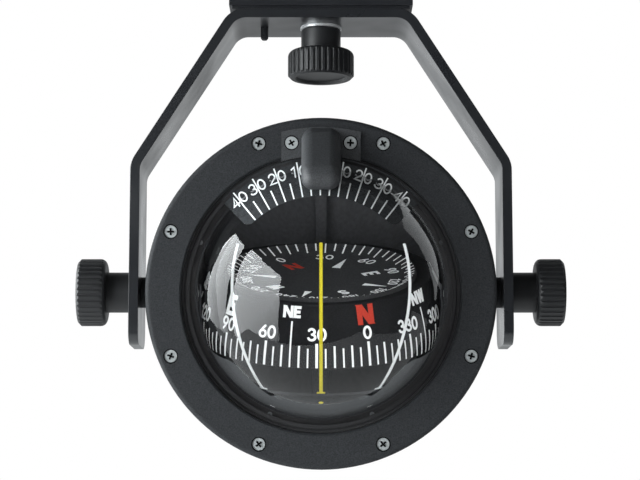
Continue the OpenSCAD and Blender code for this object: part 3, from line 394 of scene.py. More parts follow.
def glass(name, ior, colour=(1, 1, 1)):
    """Clear glass that lets lamps reach what is behind it."""
    material, nodes, links = new_material(name)
    shader = principled(nodes, links, colour, 0.0, IOR=ior, Transmission_Weight=1.0)
    clear = nodes.new("ShaderNodeBsdfTransparent")
    path = nodes.new("ShaderNodeLightPath")
    output = next(node for node in nodes if node.type == "OUTPUT_MATERIAL")
    mix = mixed(nodes, links, path.outputs["Is Shadow Ray"], shader.outputs[0], clear.outputs[0])
    links.new(mix, output.inputs["Surface"])
    return material


def clear_film(name):
    """Face between the dome's plastic and the liquid, which have nearly the same index."""
    material, nodes, links = new_material(name)
    clear = nodes.new("ShaderNodeBsdfTransparent")
    output = nodes.new("ShaderNodeOutputMaterial")
    links.new(clear.outputs[0], output.inputs["Surface"])
    return material


FINISHES = {
    "anodised_black": grained("anodised_black", (0.0115, 0.0125, 0.0145), 0.33, grain=6, bump=0.003,
        Specular_IOR_Level=0.7),
    "knob_black": grained("knob_black", (0.010, 0.0105, 0.0115), 0.5, grain=3, bump=0.01),
    "bowl_black": grained("bowl_black", (0.0200, 0.0215, 0.0235), 0.62, grain=1.6, bump=0.05, speckle=0.4,
        Specular_IOR_Level=0.18),
    "scale_grey": grained("scale_grey", (0.034, 0.0365, 0.039), 0.12, grain=1, bump=0.0),
    "card_black": grained("card_black", (0.0145, 0.015, 0.0162), 0.6, Specular_IOR_Level=0.0),
    "frame_dark": grained("frame_dark", (0.037, 0.0395, 0.043), 0.6, Specular_IOR_Level=0.0),
    "stainless": grained("stainless", (0.40, 0.43, 0.435), 0.42, grain=4, bump=0.004, Metallic=0.35),
    "washer_grey": grained("washer_grey", (0.62, 0.64, 0.65), 0.4, grain=4, bump=0.004, Metallic=0.6),
    "brass_parts": grained("brass_parts", (0.62, 0.45, 0.18), 0.3, grain=4, bump=0.004, Metallic=1.0),
    "black_rubber": grained("black_rubber", (0.012, 0.012, 0.013), 0.8),
    "wire_yellow": grained("wire_yellow", (0.56, 0.49, 0.035), 0.5, speckle=0.12, Specular_IOR_Level=0.0),
    "wire_white": grained("wire_white", (0.72, 0.76, 0.77), 0.5, speckle=0.05, Specular_IOR_Level=0.0),
    "weight_grey": grained("weight_grey", (0.12, 0.13, 0.13), 0.6),
    "float_tan": grained("float_tan", (0.55, 0.47, 0.30), 0.7),
    "magnet_steel": grained("magnet_steel", (0.25, 0.26, 0.27), 0.4, Metallic=1.0),
    "jewel_red": grained("jewel_red", (0.3, 0.02, 0.04), 0.15, bump=0.0),
    "lamp_white": grained("lamp_white", (0.70, 0.69, 0.65), 0.5),
}
FINISHES["dome_clear"] = glass("dome_clear", 1.45)
FINISHES["lamp_clear"] = glass("lamp_clear", 1.5, (1.0, 0.95, 0.85))
PAINT = {"grain": 1.5, "bump": 0.0, "Specular_IOR_Level": 0.0}
LINING = grained("lining", (0.080, 0.083, 0.089), 0.6, speckle=0.12, **PAINT)
MASK = grained("mask", (0.108, 0.115, 0.121), 0.6, speckle=0.15, **PAINT)
# Near-black painted shade for the front stretch of the mask
MASK_SHADE = grained("mask_shade", (0.012, 0.013, 0.0145), 0.6, speckle=0.15, **PAINT)
HOOD_BLACK = grained("hood_black", (0.036, 0.038, 0.0405), 0.5, grain=1.6, bump=0.06, speckle=0.4,
    Specular_IOR_Level=0.4)
# Near-black painted shade for the gaps round the screw heads and for their recesses
PAINTED_SHADE = grained("painted_shade", (0.004, 0.004, 0.004), 0.9, Specular_IOR_Level=0.0)
PIN_GREY = grained("pin_grey", (0.11, 0.115, 0.12), 0.5, Specular_IOR_Level=0.0)
DIAL_BLACK = grained("dial_black", (0.036, 0.0375, 0.0395), 0.6, bump=0.0, Specular_IOR_Level=0.0)
MARK_WHITE = grained("mark_white", (0.82, 0.85, 0.86), 0.6, speckle=0.04, bump=0.0, Specular_IOR_Level=0.0)
MARK_RED = grained("mark_red", (0.40, 0.045, 0.03), 0.6, speckle=0.1, bump=0.0, Specular_IOR_Level=0.0)


def dress_frame():
    """Gives each CAD node the finish of its slot, but for two that differ from it."""
    other = {"flange_pins": PIN_GREY, "roll_pointer": LINING}
    for name, node in frame["nodes"].items():
        for slot in node.material_slots:
            slot.material = other.get(name) or FINISHES[slot.material.name.split(".")[0]]


dress_frame()


# Dome

DOME_STEPS = 48


def clear_dome():
    """Smooth dome: its outside bends light, its inside meets the liquid unseen."""
    bm = bmesh.new()
    front = FLANGE_BACK - FLANGE_T
    outer_end = math.acos(-front / DOME_R)
    inner_end = math.acos(-FLANGE_BACK / INNER_R)
    outside = arc(DOME_R, 0, 0, outer_end, DOME_STEPS) + [(FLANGE_R, front), (FLANGE_R, FLANGE_BACK)]
    inside = [(INNER_R * math.sin(inner_end), FLANGE_BACK)] + arc(INNER_R, 0, inner_end, 0, DOME_STEPS)[1:]
    strips = lathe(bm, outside + inside, ROUND_COLUMNS, closed=False)
    for strip in strips[len(outside) - 1:]:
        for face in strip:
            face.material_index = 1
    bmesh.ops.recalc_face_normals(bm, faces=bm.faces)
    finished("clear_dome", bm, about_dome, [FINISHES["dome_clear"], clear_film("dome_inside")],
        "bowl", hides=["dome_lens"])


clear_dome()


# Dial markings

MARK_T = 0.12 * MM
# Bearing that the card shows at the front
HEADING = math.radians(27.6)
LETTER_SLICE = 1.2 * MM
LEAST_MITRE = 0.6
NEARLY = 0.1
PEN_SIDES = 10
PEN_END_T = 0.96 * MARK_T


def loop(x, y, rx, ry, start, end, steps=14):
    """Points of an oval arc, from one angle in degrees to another."""
    angles = [math.radians(start + (end - start) * i / steps) for i in range(steps + 1)]
    return [(x + rx * math.cos(a), y + ry * math.sin(a)) for a in angles]


# Each sign's width and pen strokes, in shares of its height, with its foot at 0
SIX = [(0.46, 1.0), (0.30, 0.80), (0.10, 0.50), (0.03, 0.36)] + loop(0.29, 0.30, 0.27, 0.30, 170, 530, 20)
STROKES = {
    "0": (0.56, [loop(0.28, 0.5, 0.28, 0.5, 0, 360, 28)]),
    "1": (0.36, [[(0.06, 0.80), (0.30, 1.0), (0.30, 0.0)]]),
    "2": (0.56, [loop(0.28, 0.72, 0.25, 0.28, 165, -35) + [(0.02, 0.0), (0.56, 0.0)]]),
    "3": (0.56, [loop(0.27, 0.75, 0.23, 0.25, 155, -80), loop(0.27, 0.26, 0.28, 0.26, 85, -160)]),
    "4": (0.60, [[(0.44, 0.0), (0.44, 1.0), (0.02, 0.28), (0.60, 0.28)]]),
    "5": (0.56, [[(0.52, 1.0), (0.12, 1.0), (0.08, 0.55)] + loop(0.27, 0.32, 0.28, 0.32, 130, -155)]),
    "6": (0.56, [SIX]),
    "7": (0.56, [[(0.02, 1.0), (0.54, 1.0), (0.20, 0.0)]]),
    "8": (0.56, [loop(0.28, 0.76, 0.22, 0.24, 0, 360, 20), loop(0.28, 0.26, 0.27, 0.26, 0, 360, 20)]),
    "9": (0.56, [[(0.58 - x, 1.0 - y) for x, y in SIX]]),
    "S": (0.58, [loop(0.30, 0.75, 0.27, 0.25, 30, 270) + loop(0.29, 0.25, 0.29, 0.25, 85, -150)]),
    "N": (0.74, [[(0, 0), (0, 1)], [(0, 1), (0.74, 0)], [(0.74, 0), (0.74, 1)]]),
    "E": (0.58, [[(0, 0), (0, 1)], [(0, 1), (0.58, 1)], [(0, 0.51), (0.52, 0.51)], [(0, 0), (0.58, 0)]]),
    "W": (0.98, [[(0, 1), (0.24, 0)], [(0.24, 0), (0.49, 1)], [(0.49, 1), (0.74, 0)],
        [(0.74, 0), (0.98, 1)]]),
}
SQUARE_LETTERS = "NEW"


def slab(bm, corners, thick):
    """Adds a flat polygon in the XY plane with its thickness along Z."""
    top = [bm.verts.new((x, y, thick / 2)) for x, y in corners]
    bottom = [bm.verts.new((x, y, -thick / 2)) for x, y in corners]
    bm.faces.new(top)
    bm.faces.new(bottom[::-1])
    for i in range(len(corners)):
        j = (i + 1) % len(corners)
        bm.faces.new((top[j], top[i], bottom[i], bottom[j]))


def stroke(bm, points, half):
    """Adds a pen line with round ends along some points."""
    line = [Vector(p) for p in points]
    closed = (line[0] - line[-1]).length < NEARLY * half
    sides = []
    for i, point in enumerate(line):
        into = point - line[i - 1] if i else (point - line[-2] if closed else line[1] - point)
        out = line[i + 1] - point if i + 1 < len(line) else (line[1] - point if closed else into)
        bend = into.normalized() + out.normalized()
        across = Vector((-bend.y, bend.x)).normalized()
        reach = half / max(LEAST_MITRE, abs(across.dot(Vector((-into.y, into.x)).normalized())))
        sides.append((point + across * reach, point - across * reach))
    for one, two in zip(sides, sides[1:]):
        slab(bm, [one[0], one[1], two[1], two[0]], MARK_T)
    for point in ([] if closed else [line[0], line[-1]]):
        angles = [2 * math.pi * i / PEN_SIDES for i in range(PEN_SIDES)]
        slab(bm, [(point.x + half * math.cos(a), point.y + half * math.sin(a)) for a in angles], PEN_END_T)


def square_stroke(bm, points, half):
    """Adds a straight line cut off level at its ends, or upright if it lies flat."""
    (x0, y0), (x1, y1) = points
    if abs(y1 - y0) < NEARLY * half:
        slab(bm, [(x0 - half, y0 - half), (x1, y0 - half), (x1, y0 + half), (x0 - half, y0 + half)], MARK_T)
        return
    wide = half * math.hypot(x1 - x0, y1 - y0) / abs(y1 - y0)
    low, high = sorted(((y0, x0), (y1, x1)))
    slab(bm, [(low[1] - wide, low[0] - half), (low[1] + wide, low[0] - half),
        (high[1] + wide, high[0] + half), (high[1] - wide, high[0] + half)], MARK_T)


def lettering(text, height, pen, wide=1.0, gap=0.30):
    """Word about the origin in the XY plane; wide stretches its letters and gap spaces them."""
    bm = bmesh.new()
    rise = height - pen
    total = sum(STROKES[c][0] for c in text) * wide + gap * (len(text) - 1)
    x = -total / 2
    for letter in text:
        width, strokes = STROKES[letter]
        for points in strokes:
            placed = [((x + px * wide) * rise, (py - 0.5) * rise) for px, py in points]
            (square_stroke if letter in SQUARE_LETTERS else stroke)(bm, placed, pen / 2)
        x += width * wide + gap
    slice_up(bm, LETTER_SLICE)
    return bm


def slice_up(bm, step, across=ACROSS):
    """Cuts a flat mark at even places along a direction, so that it follows a curve."""
    places = [v.co.dot(across) for v in bm.verts]
    lowest, highest = min(places), max(places)
    count = int((highest - lowest) / step)
    for i in range(1, count + 1):
        place = lowest + (highest - lowest) * i / (count + 1)
        bmesh.ops.bisect_plane(bm, geom=bm.verts[:] + bm.edges[:] + bm.faces[:],
            plane_co=across * place, plane_no=across)


def bar(width, low, high):
    """Bmesh of an upright bar in the XY plane, from one height to another."""
    bm = bmesh.new()
    bmesh.ops.create_cube(bm, size=1)
    bmesh.ops.scale(bm, vec=(width, high - low, MARK_T), verts=bm.verts)
    bmesh.ops.translate(bm, vec=(0, (low + high) / 2, 0), verts=bm.verts)
    return bm


SLOPE = Vector((CARD_RIM_R - CARD_TOP_R, CARD_RIM - CARD_TOP))
SLOPE_LENGTH = SLOPE.length


def on_cone(bearing):
    """Wraps flat marks round the card's side; their height 0 is the card's top edge."""
    def move(point):
        down = -point.y / SLOPE_LENGTH
        radius = CARD_TOP_R + SLOPE.x * down
        z = CARD_TOP + SLOPE.y * down
        lift = point.z + MARK_T / 2
        out = radius - SLOPE.y / SLOPE_LENGTH * lift
        angle = bearing + point.x / radius
        return (out * math.sin(angle), -out * math.cos(angle), z + SLOPE.x / SLOPE_LENGTH * lift)
    return move


def on_top(bearing):
    """Lays marks on the card's top, upright towards the rim; their height is the radius."""
    def move(point):
        x, y = point.x, point.y
        return (x * math.cos(bearing) + y * math.sin(bearing),
            -x * math.sin(bearing) + y * math.cos(bearing), CARD_TOP + MARK_T / 2 + point.z)
    return move


def shifted(move, rise):
    """Same as move, after raising the mark."""
    return lambda point: move(Vector((point.x, point.y + rise, point.z)))


POINTS = {0: "N", 45: "NE", 90: "E", 135: "SE", 180: "S", 225: "SW", 270: "W", 315: "NW"}
NUMBERED = range(0, 360, 30)

# Ticks on the card's side: width in mm, top, degrees apart, count, and which of them are left out;
# places on the side are shares of its slope below the card's top edge
SIDE_TICKS = ((1.2, 0.58, 30, 12, 0), (0.95, 0.62, 10, 36, 3), (0.78, 0.66, 5, 72, 2),
    (0.75, 0.25, 45, 8, 2))
SIDE_TICK_FOOT = 0.985
SIDE_NUMBER = {"height": 6.2 * MM, "pen": 1.1 * MM, "wide": 1.1, "gap": 0.26}
SIDE_NUMBER_AT = 0.44
SIDE_NORTH = {"height": 9.0 * MM, "pen": 2.4 * MM, "wide": 1.12}
SIDE_LETTER = {"height": 9.0 * MM, "pen": 2.0 * MM, "wide": 1.12}
SIDE_LETTER_AT = 0.17
SIDE_PAIR = {"height": 5.4 * MM, "pen": 1.3 * MM, "wide": 1.1, "gap": 0.36}
SIDE_PAIR_AT = 0.11


def side_marks():
    """White ticks, numbers and letters on the card's side, and the red north."""
    white = bmesh.new()
    red = bmesh.new()
    for width, top, every, count, leave in SIDE_TICKS:
        tick = bmesh.new()
        join_into(tick, bar(width * MM, -SIDE_TICK_FOOT * SLOPE_LENGTH, -top * SLOPE_LENGTH), on_cone(0))
        join_into(white, turned(tick, count, -math.radians(every), HEADING, leave))
    for degrees in NUMBERED:
        number = lettering(str(degrees), **SIDE_NUMBER)
        place = on_cone(HEADING - math.radians(degrees))
        join_into(white, number, shifted(place, -SIDE_NUMBER_AT * SLOPE_LENGTH))
    for degrees, letters in POINTS.items():
        drawn, down = (SIDE_PAIR, SIDE_PAIR_AT) if len(letters) > 1 else (SIDE_LETTER, SIDE_LETTER_AT)
        part = lettering(letters, **(drawn if degrees else SIDE_NORTH))
        place = on_cone(HEADING - math.radians(degrees))
        join_into(white if degrees else red, part, shifted(place, -down * SLOPE_LENGTH))
    finished("card_side_marks", white, about_card, [MARK_WHITE], "card")
    finished("card_side_north", red, about_card, [MARK_RED], "card")


# Corners of the dial and its ring, each a radius and a height
DIAL_HOLE_R = 1 * MM
DIAL_FACE = CARD_TOP + 0.05 * MM
RING_LOW = Vector((29.4 * MM, DIAL_FACE))
RING_HIGH = Vector((34.0 * MM, CARD_TOP + 1.8 * MM))
RING_LIP = Vector((34.4 * MM, CARD_TOP + 1.6 * MM))
RING_FOOT = Vector((34.6 * MM, CARD_TOP))
RING_COLUMNS = 144


def ring_height(radius):
    """Height of the sloping ring at a radius."""
    return RING_LOW.y + (RING_HIGH.y - RING_LOW.y) * (radius - RING_LOW.x) / (RING_HIGH.x - RING_LOW.x)


def scale_ring():
    """Flat dial on the card's top with the sloping ring that carries the outer ticks."""
    bm = bmesh.new()
    section = [RING_LOW, RING_HIGH, RING_LIP, RING_FOOT, Vector((DIAL_HOLE_R, CARD_TOP)),
        Vector((DIAL_HOLE_R, DIAL_FACE))]
    columns = []
    for i in range(RING_COLUMNS):
        turn = 2 * math.pi * i / RING_COLUMNS
        columns.append([bm.verts.new((p.x * math.sin(turn), p.x * math.cos(turn), p.y)) for p in section])
    for one, two in zip(columns, columns[1:] + columns[:1]):
        for a in range(len(section)):
            b = (a + 1) % len(section)
            bm.faces.new((one[a], two[a], two[b], one[b]))
    bmesh.ops.recalc_face_normals(bm, faces=bm.faces)
    finished("card_scale_ring", bm, about_card, [DIAL_BLACK], "card", smooth=25)


TOP_TICK_FOOT = 0.02 * MM


def ring_tick(width, low, high):
    """Tick on the sloping ring."""
    bm = bmesh.new()
    bmesh.ops.create_cube(bm, size=1)
    for v in bm.verts:
        radius = high if v.co.y > 0 else low
        height = ring_height(radius) + (MARK_T if v.co.z > 0 else TOP_TICK_FOOT)
        v.co = (v.co.x * width, radius, height)
    return bm


# Ticks on the ring: inner radius in mm, degrees apart, count, and which of them are left out
TOP_TICKS = ((30.1, 10, 36, 0), (31.0, 5, 72, 2))
TOP_TICK_W = 0.42 * MM
TOP_TICK_OUTER_R = 33.8 * MM
TOP_NUMBER = {"height": 4.0 * MM, "pen": 0.5 * MM}
TOP_NUMBER_R = 26.8 * MM
TOP_LETTER = {"height": 5.9 * MM, "pen": 1.15 * MM}
TOP_LETTER_R = 19.3 * MM
ARROW_HALF_W = 1.4 * MM
ARROW_HALF_L = 4.8 * MM
ARROW_R = 21.3 * MM
ARROWS = 4


def top_marks():
    """Marks on the card's flat top, read from the far side."""
    white = bmesh.new()
    red = bmesh.new()
    for low, every, count, leave in TOP_TICKS:
        tick = ring_tick(TOP_TICK_W, low * MM, TOP_TICK_OUTER_R)
        join_into(white, turned(tick, count, -math.radians(every), HEADING, leave))
    for degrees in NUMBERED:
        number = lettering(str(degrees), **TOP_NUMBER)
        join_into(white, number, shifted(on_top(math.radians(degrees) - HEADING), TOP_NUMBER_R))
    for degrees, letters in POINTS.items():
        if len(letters) > 1:
            continue
        part = lettering(letters, **TOP_LETTER)
        move = shifted(on_top(math.radians(degrees) - HEADING), TOP_LETTER_R)
        join_into(white if degrees else red, part, move)
    pointer = bmesh.new()
    slab(pointer, [(-ARROW_HALF_W, -ARROW_HALF_L), (ARROW_HALF_W, -ARROW_HALF_L), (0, ARROW_HALF_L)], MARK_T)
    arrow = bmesh.new()
    join_into(arrow, pointer, shifted(on_top(0), ARROW_R))
    quarter = 2 * math.pi / ARROWS
    join_into(white, turned(arrow, ARROWS, quarter, HEADING - quarter / 2))
    finished("card_top_marks", white, about_card, [MARK_WHITE], "card")
    finished("card_top_north", red, about_card, [MARK_RED], "card")


side_marks()
scale_ring()
top_marks()


# Clinometer markings

SCALE_R = DOME_R + 0.7 * MM
SCALE_FLAT = BEZEL_FACE + 3.35 * MM
SCALE_STEP = math.radians(10.15)
SCALE_MIDDLE = math.radians(-0.4)
SCALE_TICK_W = 0.72 * MM
SCALE_TICK_INNER_R = 49.6 * MM
# Outer radius in mm of the long and the short ticks, their count, and the first one's place in steps
SCALE_TICKS = ((68.4, 9, -4.0), (57.9, 8, -3.5))
SCALE_TICK_SLICE = 0.7 * MM
SCALE_DEGREES = (-40, -30, -20, -10, 10, 20, 30, 40)
SCALE_DEGREES_A_STEP = 10
SCALE_DIGIT = {"height": 6.3 * MM, "pen": 0.78 * MM, "wide": 1.12}
SCALE_DIGIT_R = 63.4 * MM
SCALE_DIGIT_ASIDE = 2.55 * MM
SCALE_DIGIT_SLICE = 0.4 * MM
LENGTHWAYS = Vector((0, 1, 0))


def on_scale(bearing):
    """Lays marks on the curved scale plate; their height is the distance from the bowl's axis."""
    def move(point):
        x = point.x * math.cos(bearing) + point.y * math.sin(bearing)
        z = -point.x * math.sin(bearing) + point.y * math.cos(bearing)
        radius = math.hypot(x, z)
        lift = point.z + MARK_T / 2
        depth = -math.sqrt(max(0.0, SCALE_R ** 2 - radius ** 2)) if radius < SCALE_R else 0.0
        depth = min(depth, SCALE_FLAT)
        return (x, depth - lift, z)
    return move


def long_bar(width, low, high):
    """Bar cut into short lengths, to follow the dome."""
    bm = bar(width, low, high)
    slice_up(bm, SCALE_TICK_SLICE, LENGTHWAYS)
    return bm


def clinometer_marks():
    """Ticks each 5 degrees, and numbers each 10 with one digit at either side of their tick."""
    white = bmesh.new()
    for outer, count, first in SCALE_TICKS:
        tick = bmesh.new()
        join_into(tick, long_bar(SCALE_TICK_W, SCALE_TICK_INNER_R, outer * MM), on_scale(0))
        join_into(white, turned(tick, count, SCALE_STEP, SCALE_MIDDLE + first * SCALE_STEP, axis=BOWL_AXIS))
    for degrees in SCALE_DEGREES:
        place = shifted(on_scale(SCALE_MIDDLE + degrees / SCALE_DEGREES_A_STEP * SCALE_STEP), SCALE_DIGIT_R)
        for digit, side in zip(str(abs(degrees)), (-1, 1)):
            part = lettering(digit, **SCALE_DIGIT)
            slice_up(part, SCALE_DIGIT_SLICE, LENGTHWAYS)
            join_into(white, part, lambda p: place(Vector((p.x + side * SCALE_DIGIT_ASIDE, p.y, p.z))))
    finished("clinometer_marks", white, about_dome, [MARK_WHITE], "bowl")


clinometer_marks()


# Screws

SCREW_HEAD_R = 3.3 * MM
SCREW_SHANK_R = 1.75 * MM
SCREW_HEAD_H = 2 * MM
SCREW_EDGE = 0.18 * MM
SCREW_COLUMNS = 48
SCREW_SPIN = 3.0
BEZEL_SCREWS = 8
RECESS_ARM = 1.9 * MM
RECESS_HALF_W = 0.5 * MM
RECESS_TAPER = 0.8
# Ring of painted shade in the gap round each screw head, and a floor of painted shade in its recess
SEAT_INNER_R = SCREW_HEAD_R - 0.05 * MM
SEAT_OUTER_R = SCREW_HEAD_R + 0.5 * MM
SEAT_FRONT, SEAT_BACK = -0.03 * MM, 0.2 * MM
FLOOR_FRONT, FLOOR_BACK = -0.02 * MM, 0.1 * MM
FLOOR_SIZE = 0.93


def cross(size=1.0):
    """Corners of a screw's cross-shaped recess."""
    arm, wide = size * RECESS_ARM, size * RECESS_HALF_W
    return [(wide, wide), (wide, arm), (-wide, arm), (-wide, wide), (-arm, wide), (-arm, -wide),
        (-wide, -wide), (-wide, -arm), (wide, -arm), (wide, -wide), (arm, -wide), (arm, wide)]


def walls(top, low):
    """Corners of each face between two loops of as many points."""
    return list(zip(top, top[1:] + top[:1], low[1:] + low[:1], low))


def screw(length):
    """Cross-head screw along the depth axis, its face at the origin."""
    bm = bmesh.new()
    outline = [(SCREW_HEAD_R - SCREW_EDGE, 0), (SCREW_HEAD_R, SCREW_EDGE), (SCREW_SHANK_R, SCREW_HEAD_H),
        (SCREW_SHANK_R, length), (0, length)]
    lathe(bm, outline, SCREW_COLUMNS, closed=False)
    rim = [e for e in bm.edges if e.is_boundary]
    top = [bm.verts.new((x, 0, z)) for x, z in cross()]
    low = [bm.verts.new((x, RECESS_TAPER * RECESS_ARM, z)) for x, z in cross(RECESS_TAPER)]
    recess = walls(top, low)
    bmesh.ops.triangle_fill(bm, edges=rim + [bm.edges.new(wall[:2]) for wall in recess], use_beauty=True)
    for wall in recess:
        bm.faces.new(wall)
    bm.faces.new(low)
    bmesh.ops.recalc_face_normals(bm, faces=bm.faces)
    return bm


def seat():
    """Painted shade: a near-black ring in the gap round a screw's head and a near-black floor in its recess,
    the head's face at the origin.
    """
    bm = bmesh.new()
    depths = (FLOOR_FRONT, FLOOR_BACK)
    top, low = ([bm.verts.new((x, depth, z)) for x, z in cross(FLOOR_SIZE)] for depth in depths)
    for face in [top, low] + walls(top, low):
        bm.faces.new(face)
    lathe(bm, [(SEAT_INNER_R, SEAT_FRONT), (SEAT_OUTER_R, SEAT_FRONT), (SEAT_OUTER_R, SEAT_BACK),
        (SEAT_INNER_R, SEAT_BACK)], SCREW_COLUMNS)
    bmesh.ops.recalc_face_normals(bm, faces=bm.faces)
    return bm


def round_row(part, radius, depth, count, step, start):
    """Copies of a screw or of its painted shade on a circle about the bowl's axis, each turned its own way.
    """
    bmesh.ops.translate(part, vec=(radius, depth, 0), verts=part.verts)
    return turned(part, count, step, start, axis=BOWL_AXIS, pivot=(radius, 0.0, 0.0), spin=SCREW_SPIN)


def bright_screws():
    """Cross-head screws of the bezel and the hood, with painted shade in the gaps round their heads and in
    their recesses.
    """
    steel = FINISHES["stainless"]
    low, high = spans("bezel_screws", about_dome)
    first = math.pi / BEZEL_SCREWS
    radius = (high.x - SCREW_HEAD_R) / math.cos(first)
    row = (BEZEL_SCREWS, 2 * first, first)
    screws = round_row(screw(high.y - low.y), radius, low.y, *row)
    finished("bright_bezel_screws", screws, about_dome, [steel], "bowl", hides=["bezel_screws"])
    shaded_seats = round_row(seat(), radius, min(low.y, BEZEL_FACE), *row)
    finished("bezel_screw_shade", shaded_seats, about_dome, [PAINTED_SHADE], "bowl")
    low, high = spans("lamp_screws", about_dome)
    x, z = high.x - SCREW_HEAD_R, high.z - SCREW_HEAD_R
    radius, angle = math.hypot(x, z), math.atan2(x, z)
    row = (2, -2 * angle, angle - math.pi / 2)
    shaded_seats = round_row(seat(), radius, low.y, *row)
    finished("hood_screw_shade", shaded_seats, about_dome, [PAINTED_SHADE], "bowl")
    screws = round_row(screw(high.y - low.y), radius, low.y, *row)
    finished("bright_hood_screws", screws, about_dome, [steel], "bowl", hides=["lamp_screws"])


bright_screws()


# Rounded edges

# Each node with the width of its bevels in mm, its body and its slot
BEVELLED = (("yoke_bracket", 0.35, "bracket", "anodised_black"),
    ("base_block", 0.35, "bracket", "anodised_black"),
    ("centre_washer", 0.2, "bracket", "washer_grey"),
    ("lamp_hood", 0.35, "bowl", "bowl_black"),
    ("centre_knob_grip", 0.22, "centre_knob", "knob_black"),
    ("left_knob_grip", 0.22, "left_knob", "knob_black"),
    ("right_knob_grip", 0.22, "right_knob", "knob_black"))

for node, width, body, slot in BEVELLED:
    finish = HOOD_BLACK if node == "lamp_hood" else FINISHES[slot]
    rounded(node, width * MM, f"smooth_{node}", finish, body)


# Inside of the bowl

LINING_R = INNER_R + 0.4 * MM
LINING_HALF_T = 0.04 * MM
LINING_FRONT = FLANGE_BACK + 1.5 * MM
LINING_HOLE_R = 9 * MM
LINING_STEPS = 40
LINING_COLUMNS = 128


def painted_lining():
    """Coat of dark grey paint inside the bowl, seen through the dome."""
    bm = bmesh.new()
    start = math.acos(-LINING_FRONT / LINING_R)
    end = math.pi - math.asin(LINING_HOLE_R / LINING_R)
    inside = arc(LINING_R - LINING_HALF_T, 0, start, end, LINING_STEPS)
    outside = arc(LINING_R + LINING_HALF_T, 0, end, start, LINING_STEPS)
    lathe(bm, inside + outside, LINING_COLUMNS)
    bmesh.ops.recalc_face_normals(bm, faces=bm.faces)
    finished("painted_lining", bm, about_dome, [LINING], "bowl", smooth=60)


painted_lining()

# The mask is drawn by angles: how far below level, and how far from straight ahead
MASK_R = INNER_R - 0.6 * MM
MASK_HALF_T = 0.03 * MM
MASK_EDGE = ((26.5, 83.5), (31.4, 72.6), (34.9, 64.8), (40.2, 60.4), (46.5, 60.0), (53.2, 61.8),
    (59.0, 63.6), (63.5, 64.6), (66.0, 60.6), (70.2, 58.2), (78.1, 54.6), (90.0, 52.8))
# Opening angle where the painted shade along the mask's front ends
MASK_SHADE_END = math.radians(61.3)
MASK_BACK_DEPTH = -4.2 * MM
MASK_BACK = math.acos(-MASK_BACK_DEPTH / MASK_R)
MASK_LEAST_SHADE = 0.01
MASK_SHADE_ROWS, MASK_ROWS, MASK_COLUMNS = 3, 12, 96
# Painted reflections on the mask, as yellow and white spots: these two angles in degrees, then half the
# width and half the height in mm
YELLOW_REFLECTION = ((90.0, 59.5, 1.35, 1.0),)
WHITE_REFLECTIONS = ((66.5, 79.0, 1.6, 0.7), (113.5, 79.0, 1.6, 0.7))
SPOT_LIFT = 0.1 * MM
SPOT_SIDES = 16


def on_mask(below, opening, radius=MASK_R):
    """Point on the mask's ball by its angle below level and its opening angle from straight ahead."""
    out = radius * math.sin(opening)
    return Vector((out * math.cos(below), -radius * math.cos(opening), -out * math.sin(below)))


def mask_opening(below):
    """Opening angle at which the mask starts, the same on both sides."""
    angle = min(math.degrees(below), 180 - math.degrees(below))
    for (a, one), (b, two) in zip(MASK_EDGE, MASK_EDGE[1:]):
        if angle <= b:
            return math.radians(one + (two - one) * (angle - a) / (b - a))
    return math.radians(MASK_EDGE[-1][1])


def mask_openings(below):
    """Opening angles of the mask's rows, the first of them in its front stretch of painted shade."""
    start = mask_opening(below)
    change = max(MASK_SHADE_END, start + MASK_LEAST_SHADE)
    pale_rows = MASK_ROWS - MASK_SHADE_ROWS
    dark = [start + (change - start) * k / MASK_SHADE_ROWS for k in range(MASK_SHADE_ROWS)]
    return dark + [change + (MASK_BACK - change) * k / pale_rows for k in range(pale_rows + 1)]


def painted_mask():
    """Coat of grey paint inside the lower edge of the dome, with painted shade along its front."""
    bm = bmesh.new()
    first = math.radians(MASK_EDGE[0][0])
    rows, columns = MASK_ROWS, MASK_COLUMNS
    layers = []
    for radius in (MASK_R - MASK_HALF_T, MASK_R + MASK_HALF_T):
        grid = []
        for i in range(columns + 1):
            below = first + (math.pi - 2 * first) * i / columns
            grid.append([bm.verts.new(on_mask(below, opening, radius)) for opening in mask_openings(below)])
        layers.append(grid)
        for i in range(columns):
            for k in range(rows):
                face = bm.faces.new((grid[i][k], grid[i][k + 1], grid[i + 1][k + 1], grid[i + 1][k]))
                face.material_index = int(k < MASK_SHADE_ROWS)
    inner, outer = layers
    edge = [(i, 0) for i in range(columns)] + [(columns, k) for k in range(rows)]
    edge += [(i, rows) for i in range(columns, 0, -1)] + [(0, k) for k in range(rows, 0, -1)]
    for (i, k), (m, n) in zip(edge, edge[1:] + edge[:1]):
        bm.faces.new((inner[i][k], inner[m][n], outer[m][n], outer[i][k]))
    bmesh.ops.recalc_face_normals(bm, faces=bm.faces)
    finished("painted_mask", bm, about_dome, [MASK, MASK_SHADE], "bowl", smooth=60)


def mask_spots(name, spots, material):
    """Thin oval spots of painted reflection on the mask."""
    bm = bmesh.new()
    for below, opening, wide, high in spots:
        spot = bmesh.new()
        slab(spot, loop(0, 0, wide * MM, high * MM, 0, 360 - 360 / SPOT_SIDES, SPOT_SIDES - 1), MARK_T)
        join_into(bm, spot, lambda p: on_mask(math.radians(below) + p.x / MASK_R,
            math.radians(opening) + p.y / MASK_R, MASK_R + SPOT_LIFT + p.z))
    finished(name, bm, about_dome, [material], "bowl")


painted_mask()
# A yellow spot and two white spots painted on the mask as reflections
mask_spots("yellow_reflection", YELLOW_REFLECTION, FINISHES["wire_yellow"])
mask_spots("white_reflections", WHITE_REFLECTIONS, MARK_WHITE)

SEAL_SEAT = BEZEL_FACE + 4 * MM
